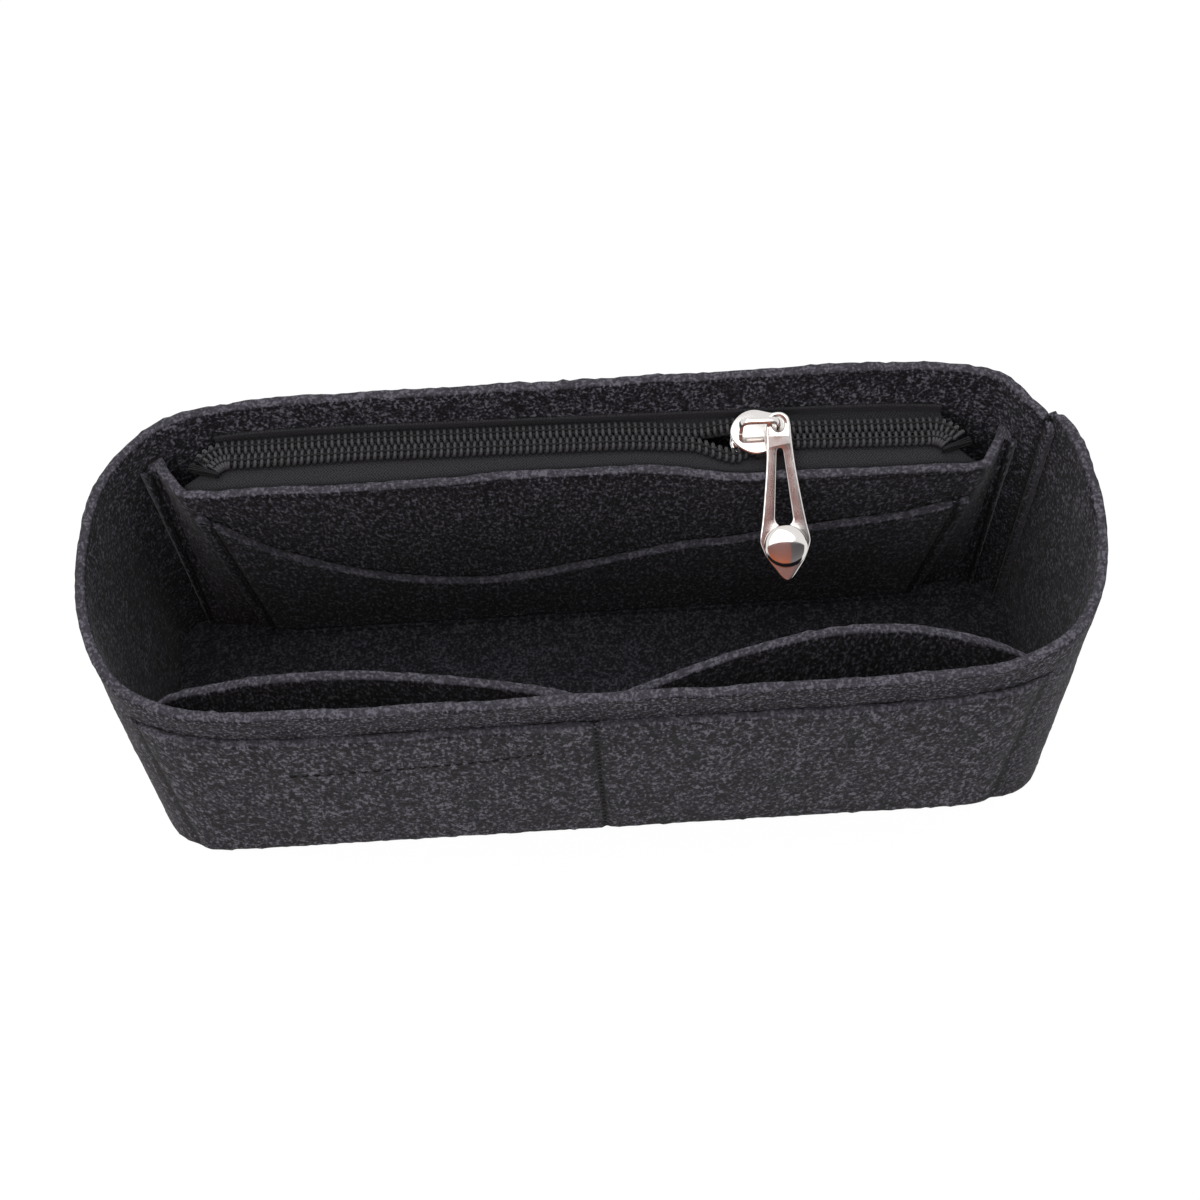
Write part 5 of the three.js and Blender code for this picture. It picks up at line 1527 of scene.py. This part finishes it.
def slider_casting():
    """Five plates: top, bottom, the wedge between them, and a guide at each side of the chain."""
    half = SLIDER_LENGTH / 2
    top = rounded_plate(plate_outline(0), plate_low, plate_top - PLATE_DOME / 2, TOP_EDGE, PLATE_DOME)
    bottom = rounded_plate(plate_outline(GUIDE / 2), plate_floor - PLATE, plate_floor, BOTTOM_EDGE)
    near = np.stack([half * np.array(WEDGE_LENGTH_SHARES), -np.array(WEDGE_HALF_WIDTHS)], -1)
    far = near[::-1] * [1, -1]
    curves = [bezier(*near[:4], WEDGE_NOSE_COUNT), bezier(*near[3:], WEDGE_TAIL_COUNT)]
    curves += [bezier(*far[:4], WEDGE_TAIL_COUNT), bezier(*far[3:], WEDGE_NOSE_COUNT)]
    post = rounded_plate(np.vstack(curves), plate_floor - SUNK_LOW, plate_low + SUNK_HIGH, WEDGE_EDGE)
    shells = [top, bottom, post]
    inner = CHAIN_GAP / 2 + COIL_WIDTH + GUIDE_GAP
    outer = [inner + GUIDE, inner + GUIDE, SLIDER_WIDTH / 2 - RUNNING_GAP]
    guide = np.stack([half * np.array(GUIDE_SHARES), [inner + THROAT_PARTING, inner, inner, *outer]], -1)
    for side in (-1, 1):
        shells.append(rounded_plate(guide * [1, side], COIL_LIFT, plate_low + SUNK_HIGH, GUIDE_EDGE))
    shells = [(slider_point(shell), grid_faces(*shell.shape[:2])) for shell in shells]
    mesh = make_mesh("slider_casting", shells)
    add_piece("slider_casting", mesh, bright_nickel, "slider", ["slider_body"])


def crown_bridge():
    """A band bent twice: a rounded section carried up one leg, over the top and down the other."""
    left, right = -CROWN_LEFT + CROWN_THICK / 2, SLIDER_LENGTH / 2 - LEG_INSET - CROWN_THICK / 2
    top = CROWN_INSIDE + CROWN_THICK / 2
    bend = CROWN_BEND
    turn = np.linspace(0, np.pi / 2, BEND_STEPS)
    leg = np.linspace(-LEG_SUNK, top - bend, LEG_STEPS)[:-1]
    up = np.stack([0 * leg + left, leg], -1)
    first = np.stack([left + bend * (1 - np.cos(turn)), top - bend + bend * np.sin(turn)], -1)
    over = np.linspace(left + bend, right - bend, OVER_STEPS)[1:-1]
    over = np.stack([over, 0 * over + top], -1)
    second = np.stack([right - bend + bend * np.sin(turn), top - bend + bend * np.cos(turn)], -1)
    down = np.stack([0 * leg + right, leg[::-1]], -1)
    line = np.vstack([up, first, over, second, down])
    along = np.gradient(line, axis=0)
    along /= np.linalg.norm(along, axis=1, keepdims=True)
    out = np.stack([-along[:, 1], along[:, 0]], -1)
    angle = np.linspace(0, 2 * np.pi, CROWN_SIDES, endpoint=False)
    wide = signed_power(np.cos(angle), CROWN_POWER) * CROWN_WIDTH / 2
    thick = signed_power(np.sin(angle), CROWN_POWER) * CROWN_THICK / 2
    flat = line[:, None] + out[:, None] * thick[:, None]
    rings = np.stack([flat[..., 0], np.broadcast_to(wide, flat.shape[:2]), flat[..., 1] + plate_top], -1)
    mesh = make_mesh("crown_bridge", [(slider_point(rings), grid_faces(*rings.shape[:2]))])
    add_piece("crown_bridge", mesh, bright_nickel, "slider", ["slider_crown"])


slider_casting()
crown_bridge()

# Pull
# A long teardrop frame stamped from plate, with bevelled edges, an eye round the crown's leg and an opening
# shaped like a drop. A domed stud is riveted through its lower end.
PULL_LENGTH = 39.4
PULL_WIDTH = 12.5
PULL_THICK = 1.4
PULL_HEAD = 3.1
PULL_BEVEL, BEVEL_STEPS = 0.5, 3
EYE_LENGTH = 3.9
EYE_WIDTH = 3.0
PULL_LIE = 18.0
PIVOT_HEIGHT = 2.75
STUD_AT_SHARE = 0.782
STUD_RADIUS = 5.4
STUD_HEIGHT = 2.6
STUD_SHANK = 1.6
STUD_HEAD = 2.7
STUD_HEAD_THICK = 0.7
STUD_PLAY, STUD_RIM, STUD_LIP = 0.02, 0.35, 0.1
STUD_EDGE_LOW, STUD_EDGE_HIGH = 0.5, 0.15
STUD_HEAD_SHARES, STUD_RIM_SHARES = (0.8, 0.93), (0.9, 0.98)
DOME_STEPS, STUD_SIDES = 16, 64
PULL_SHARES = [
    (0.03, 1),
    (0.19, 0.982),
    (0.48, 0.921),
    (0.73, 0.863),
    (0.9, 0.8),
    (1, 0.74),
    (0.88, 0.617),
    (0.77, 0.495),
    (0.58, 0.251),
    (0.51, 0.1),
]
PULL_HEAD_SHARES = [(0.48, 0.1), (0.4, 0.62), (0.2, 0.94), (0, 1)]
OPENING_START_SHARE = 0.175
OPENING_STOP_SHARE = 0.6
OPENING_NARROW_SHARE = 0.06
OPENING_ROUND_SHARE = 0.172
PULL_STEPS, OPENING_STEPS = 6, 14
PULL_MERGE = 0.005
PULL_SHARP = 32

pull_axis = SLIDER_LENGTH / 2 - LEG_INSET - CROWN_THICK / 2
pull_tip = np.radians(PULL_LIE)


def pull_point(points):
    """From the pull's own measures, flat with its length along -y, to the part's frame, tipped up."""
    x, y, z = np.moveaxis(np.asarray(points, float), -1, 0)
    v = y * np.cos(pull_tip) - z * np.sin(pull_tip)
    w = y * np.sin(pull_tip) + z * np.cos(pull_tip)
    return slider_point(np.stack([x + pull_axis, v, w + plate_top + PIVOT_HEIGHT], -1))


def ellipse(wide, tall, count=28):
    """Points round an ellipse from its two half widths: cosine across and sine along."""
    angle = np.linspace(0, 2 * np.pi, count, endpoint=False)
    return np.stack([wide * np.cos(angle), tall * np.sin(angle)], -1)


def pull_outlines():
    """The rim from tables of shares and its mirror image, the eye, and a drop of two half circles."""
    right = [(w * PULL_WIDTH / 2, -d * PULL_LENGTH) for w, d in PULL_SHARES]
    head = [(w * PULL_WIDTH / 2, d * PULL_HEAD) for w, d in PULL_HEAD_SHARES]
    side = smooth_line(right + head, LINE_POWER, PULL_STEPS)
    outline = np.vstack([side, side[-2::-1] * [-1, 1]])
    narrow, wide = PULL_WIDTH * OPENING_NARROW_SHARE, PULL_WIDTH * OPENING_ROUND_SHARE
    turn = np.linspace(0, np.pi, OPENING_STEPS)
    start, stop = -PULL_LENGTH * OPENING_START_SHARE, -PULL_LENGTH * OPENING_STOP_SHARE
    upper = np.stack([narrow * np.cos(turn), start + narrow * np.sin(turn)], -1)
    lower = np.stack([-wide * np.cos(turn), stop - wide * np.sin(turn)], -1)
    return [outline, ellipse(EYE_WIDTH / 2, EYE_LENGTH / 2), np.vstack([upper, lower])]


def teardrop_pull():
    """A flat curve with two holes, given its thickness and round bevels, made a mesh and put in place."""
    curve = bpy.data.curves.new("teardrop_pull", "CURVE")
    curve.dimensions = "2D"
    curve.fill_mode = "BOTH"
    for line in pull_outlines():
        spline = curve.splines.new("POLY")
        spline.points.add(len(line) - 1)
        flat = np.column_stack([line, np.zeros(len(line)), np.ones(len(line))])
        spline.points.foreach_set("co", flat.ravel())
        spline.use_cyclic_u = True
    curve.bevel_depth = PULL_BEVEL
    curve.bevel_resolution = BEVEL_STEPS
    curve.offset = -PULL_BEVEL
    curve.extrude = PULL_THICK / 2 - PULL_BEVEL
    shape = new_object("teardrop_pull_shape", curve)
    bpy.context.view_layer.update()
    mesh = bpy.data.meshes.new_from_object(shape.evaluated_get(bpy.context.evaluated_depsgraph_get()))
    bpy.data.objects.remove(shape)
    points = np.zeros(len(mesh.vertices) * 3)
    mesh.vertices.foreach_get("co", points)
    mesh.vertices.foreach_set("co", (pull_point(points.reshape(-1, 3)) * MM).ravel())
    work = bmesh.new()
    work.from_mesh(mesh)
    bmesh.ops.remove_doubles(work, verts=work.verts, dist=MM * PULL_MERGE)
    bmesh.ops.recalc_face_normals(work, faces=work.faces)
    work.to_mesh(mesh)
    work.free()
    mesh.materials.clear()
    mesh.shade_smooth()
    mesh.set_sharp_from_angle(angle=np.radians(PULL_SHARP))
    add_piece("teardrop_pull", mesh, bright_nickel, "pull", ["zip_pull"])


def stud():
    """A lathe profile turned about the stud's axis: flat head, shank, and a dome with a rolled rim."""
    face, back = PULL_THICK / 2 + STUD_PLAY, -PULL_THICK / 2 - STUD_PLAY
    flat, shoulder = (STUD_HEAD * share for share in STUD_HEAD_SHARES)
    under, rim = (STUD_RADIUS * share for share in STUD_RIM_SHARES)
    turn = np.linspace(0, np.pi / 2, DOME_STEPS)
    height = face + STUD_RIM + (STUD_HEIGHT - STUD_RIM) * np.sin(turn)
    low = back - STUD_HEAD_THICK
    profile = np.vstack(
        [
            [(0, low), (flat, low), (STUD_HEAD, back - STUD_EDGE_LOW), (STUD_HEAD, back - STUD_EDGE_HIGH)],
            [(shoulder, back), (STUD_SHANK, back), (STUD_SHANK, face), (under, face), (rim, face + STUD_LIP)],
            np.stack([STUD_RADIUS * np.cos(turn), height], -1),
        ]
    )
    angle = np.linspace(0, 2 * np.pi, STUD_SIDES, endpoint=False)[:, None]
    radius, height = profile[:, 0], profile[:, 1]
    y = radius * np.sin(angle) - PULL_LENGTH * STUD_AT_SHARE
    rings = np.stack(np.broadcast_arrays(radius * np.cos(angle), y, height), -1)
    rings = np.moveaxis(rings, 0, 1)
    mesh = make_mesh("domed_stud", [(pull_point(rings), grid_faces(*rings.shape[:2]))])
    add_piece("domed_stud", mesh, bright_nickel, "pull", ["pull_stud"])


teardrop_pull()
stud()

# Studio
# The insert stands on a pale floor in a white room, under a large soft lamp above and behind it and a weaker
# one in front. A small warm card overhead shows only in the metal.
FLOOR_SIZE = 6.0
FLOOR_COLOUR = (0.7, 0.7, 0.7)
FLOOR_ROUGHNESS = 0.8
FLOOR_GLOW = 0.88
FLOOR_BRIGHTNESS = 1.08
ROOM_LIGHT = 0.37
LAMPS = [
    ("lamp_above", (-0.15, 0.13, 1.1), 1.2, 9.0),
    ("lamp_front", (-0.3, -1.2, 0.9), 0.9, 5.8),
]
CARDS = [
    ("card_warm", (-2.0, 0.27), (0.25, 0.125, 0.115), (0.6, 0.15, 0.04)),
    ("card_grey", (0.27, 2.0), (0.1, 0.095, 0.1), (0.3, 0.29, 0.3)),
]
CARD_HEIGHTS = (0.1, 0.9)
CARD_DEPTH = (-1.3, -0.022)


def seen_directly(look):
    """1 for rays of the camera and those that gloss and glass send on, 0 for light that falls on things."""
    path = look.node("ShaderNodeLightPath")
    outputs = path.socket.node.outputs
    seen = [Wire(look, outputs[name]) for name in ("Is Camera Ray", "Is Glossy Ray", "Is Transmission Ray")]
    return seen[0].math("MAXIMUM", seen[0].math("MAXIMUM", seen[0], seen[1]), seen[2])


def floor():
    """A square whose own look is mixed, by a share for rays that see it directly, with an even glow."""
    mesh = bpy.data.meshes.new("floor")
    half = FLOOR_SIZE / 2
    corners = [(-half, -half, 0), (half, -half, 0), (half, half, 0), (-half, half, 0)]
    mesh.from_pydata(corners, [], [(0, 1, 2, 3)])
    look = new_look("floor")
    look.set(Base_Color=FLOOR_COLOUR, Roughness=FLOOR_ROUGHNESS)
    glow = look.node("ShaderNodeEmission", {}, {"Color": (1, 1, 1), "Strength": FLOOR_BRIGHTNESS})
    factor = seen_directly(look) * FLOOR_GLOW
    surface = Wire(look, look.surface.outputs[0])
    mixed = look.node("ShaderNodeMixShader", {}, {0: factor, 1: surface, 2: glow})
    look.connect(look.tree.nodes["Material Output"].inputs["Surface"], mixed)
    mesh.materials.append(look.owner)
    piece = new_object("floor", mesh)


def room():
    """The world is white to look at, and lights the object at a lower strength."""
    look = Look(bpy.data.worlds.new("room"))
    bpy.context.scene.world = look.owner
    light, seen = (
        look.node("ShaderNodeBackground", {}, {"Color": (1, 1, 1), "Strength": strength})
        for strength in (ROOM_LIGHT, 1.0)
    )
    mixed = look.node("ShaderNodeMixShader", {}, {0: seen_directly(look), 1: light, 2: seen})
    look.connect(look.tree.nodes["World Output"].inputs["Surface"], mixed)


def lamps():
    """Each lamp faces the insert: its matrix's third column points away from the middle."""
    for name, place, size, power in LAMPS:
        data = bpy.data.lights.new(name, "AREA")
        data.size = size
        data.energy = power
        lamp = new_object(name, data)
        way = -np.array(place) / np.linalg.norm(place)
        side = np.cross(way, [0, 0, 1])
        side /= np.linalg.norm(side)
        matrix = np.eye(4)
        matrix[:3, :3] = np.stack([side, np.cross(side, way), -way], 1)
        matrix[:3, 3] = place
        lamp.matrix_world = Matrix(matrix.tolist())
        lamp.visible_camera = False


def card(name, sides, near, far):
    """A flat card that only gloss sees, low in front and high above. Its glow changes from back to front."""
    mesh = bpy.data.meshes.new(name)
    (left, right), (front, back), (low, high) = sides, CARD_DEPTH, CARD_HEIGHTS
    corners = [(left, front, low), (right, front, low), (right, back, high), (left, back, high)]
    mesh.from_pydata(corners, [], [(0, 3, 2, 1)])
    look = new_look(name)
    at = look.node("ShaderNodeTexCoord", {}, {}, "Object")
    y = look.node("ShaderNodeSeparateXYZ", {}, {0: at}, 1)
    colour = look.blend(y.between(back, front), near, far)
    look.set(Base_Color=(0, 0, 0), Emission_Color=colour, Emission_Strength=1.0, Specular_IOR_Level=0.0)
    mesh.materials.append(look.owner)
    piece = new_object(name, mesh)
    piece.visible_camera = piece.visible_diffuse = piece.visible_shadow = False


floor()
room()
lamps()
for values in CARDS:
    card(*values)
bpy.context.scene.view_settings.view_transform = "Standard"
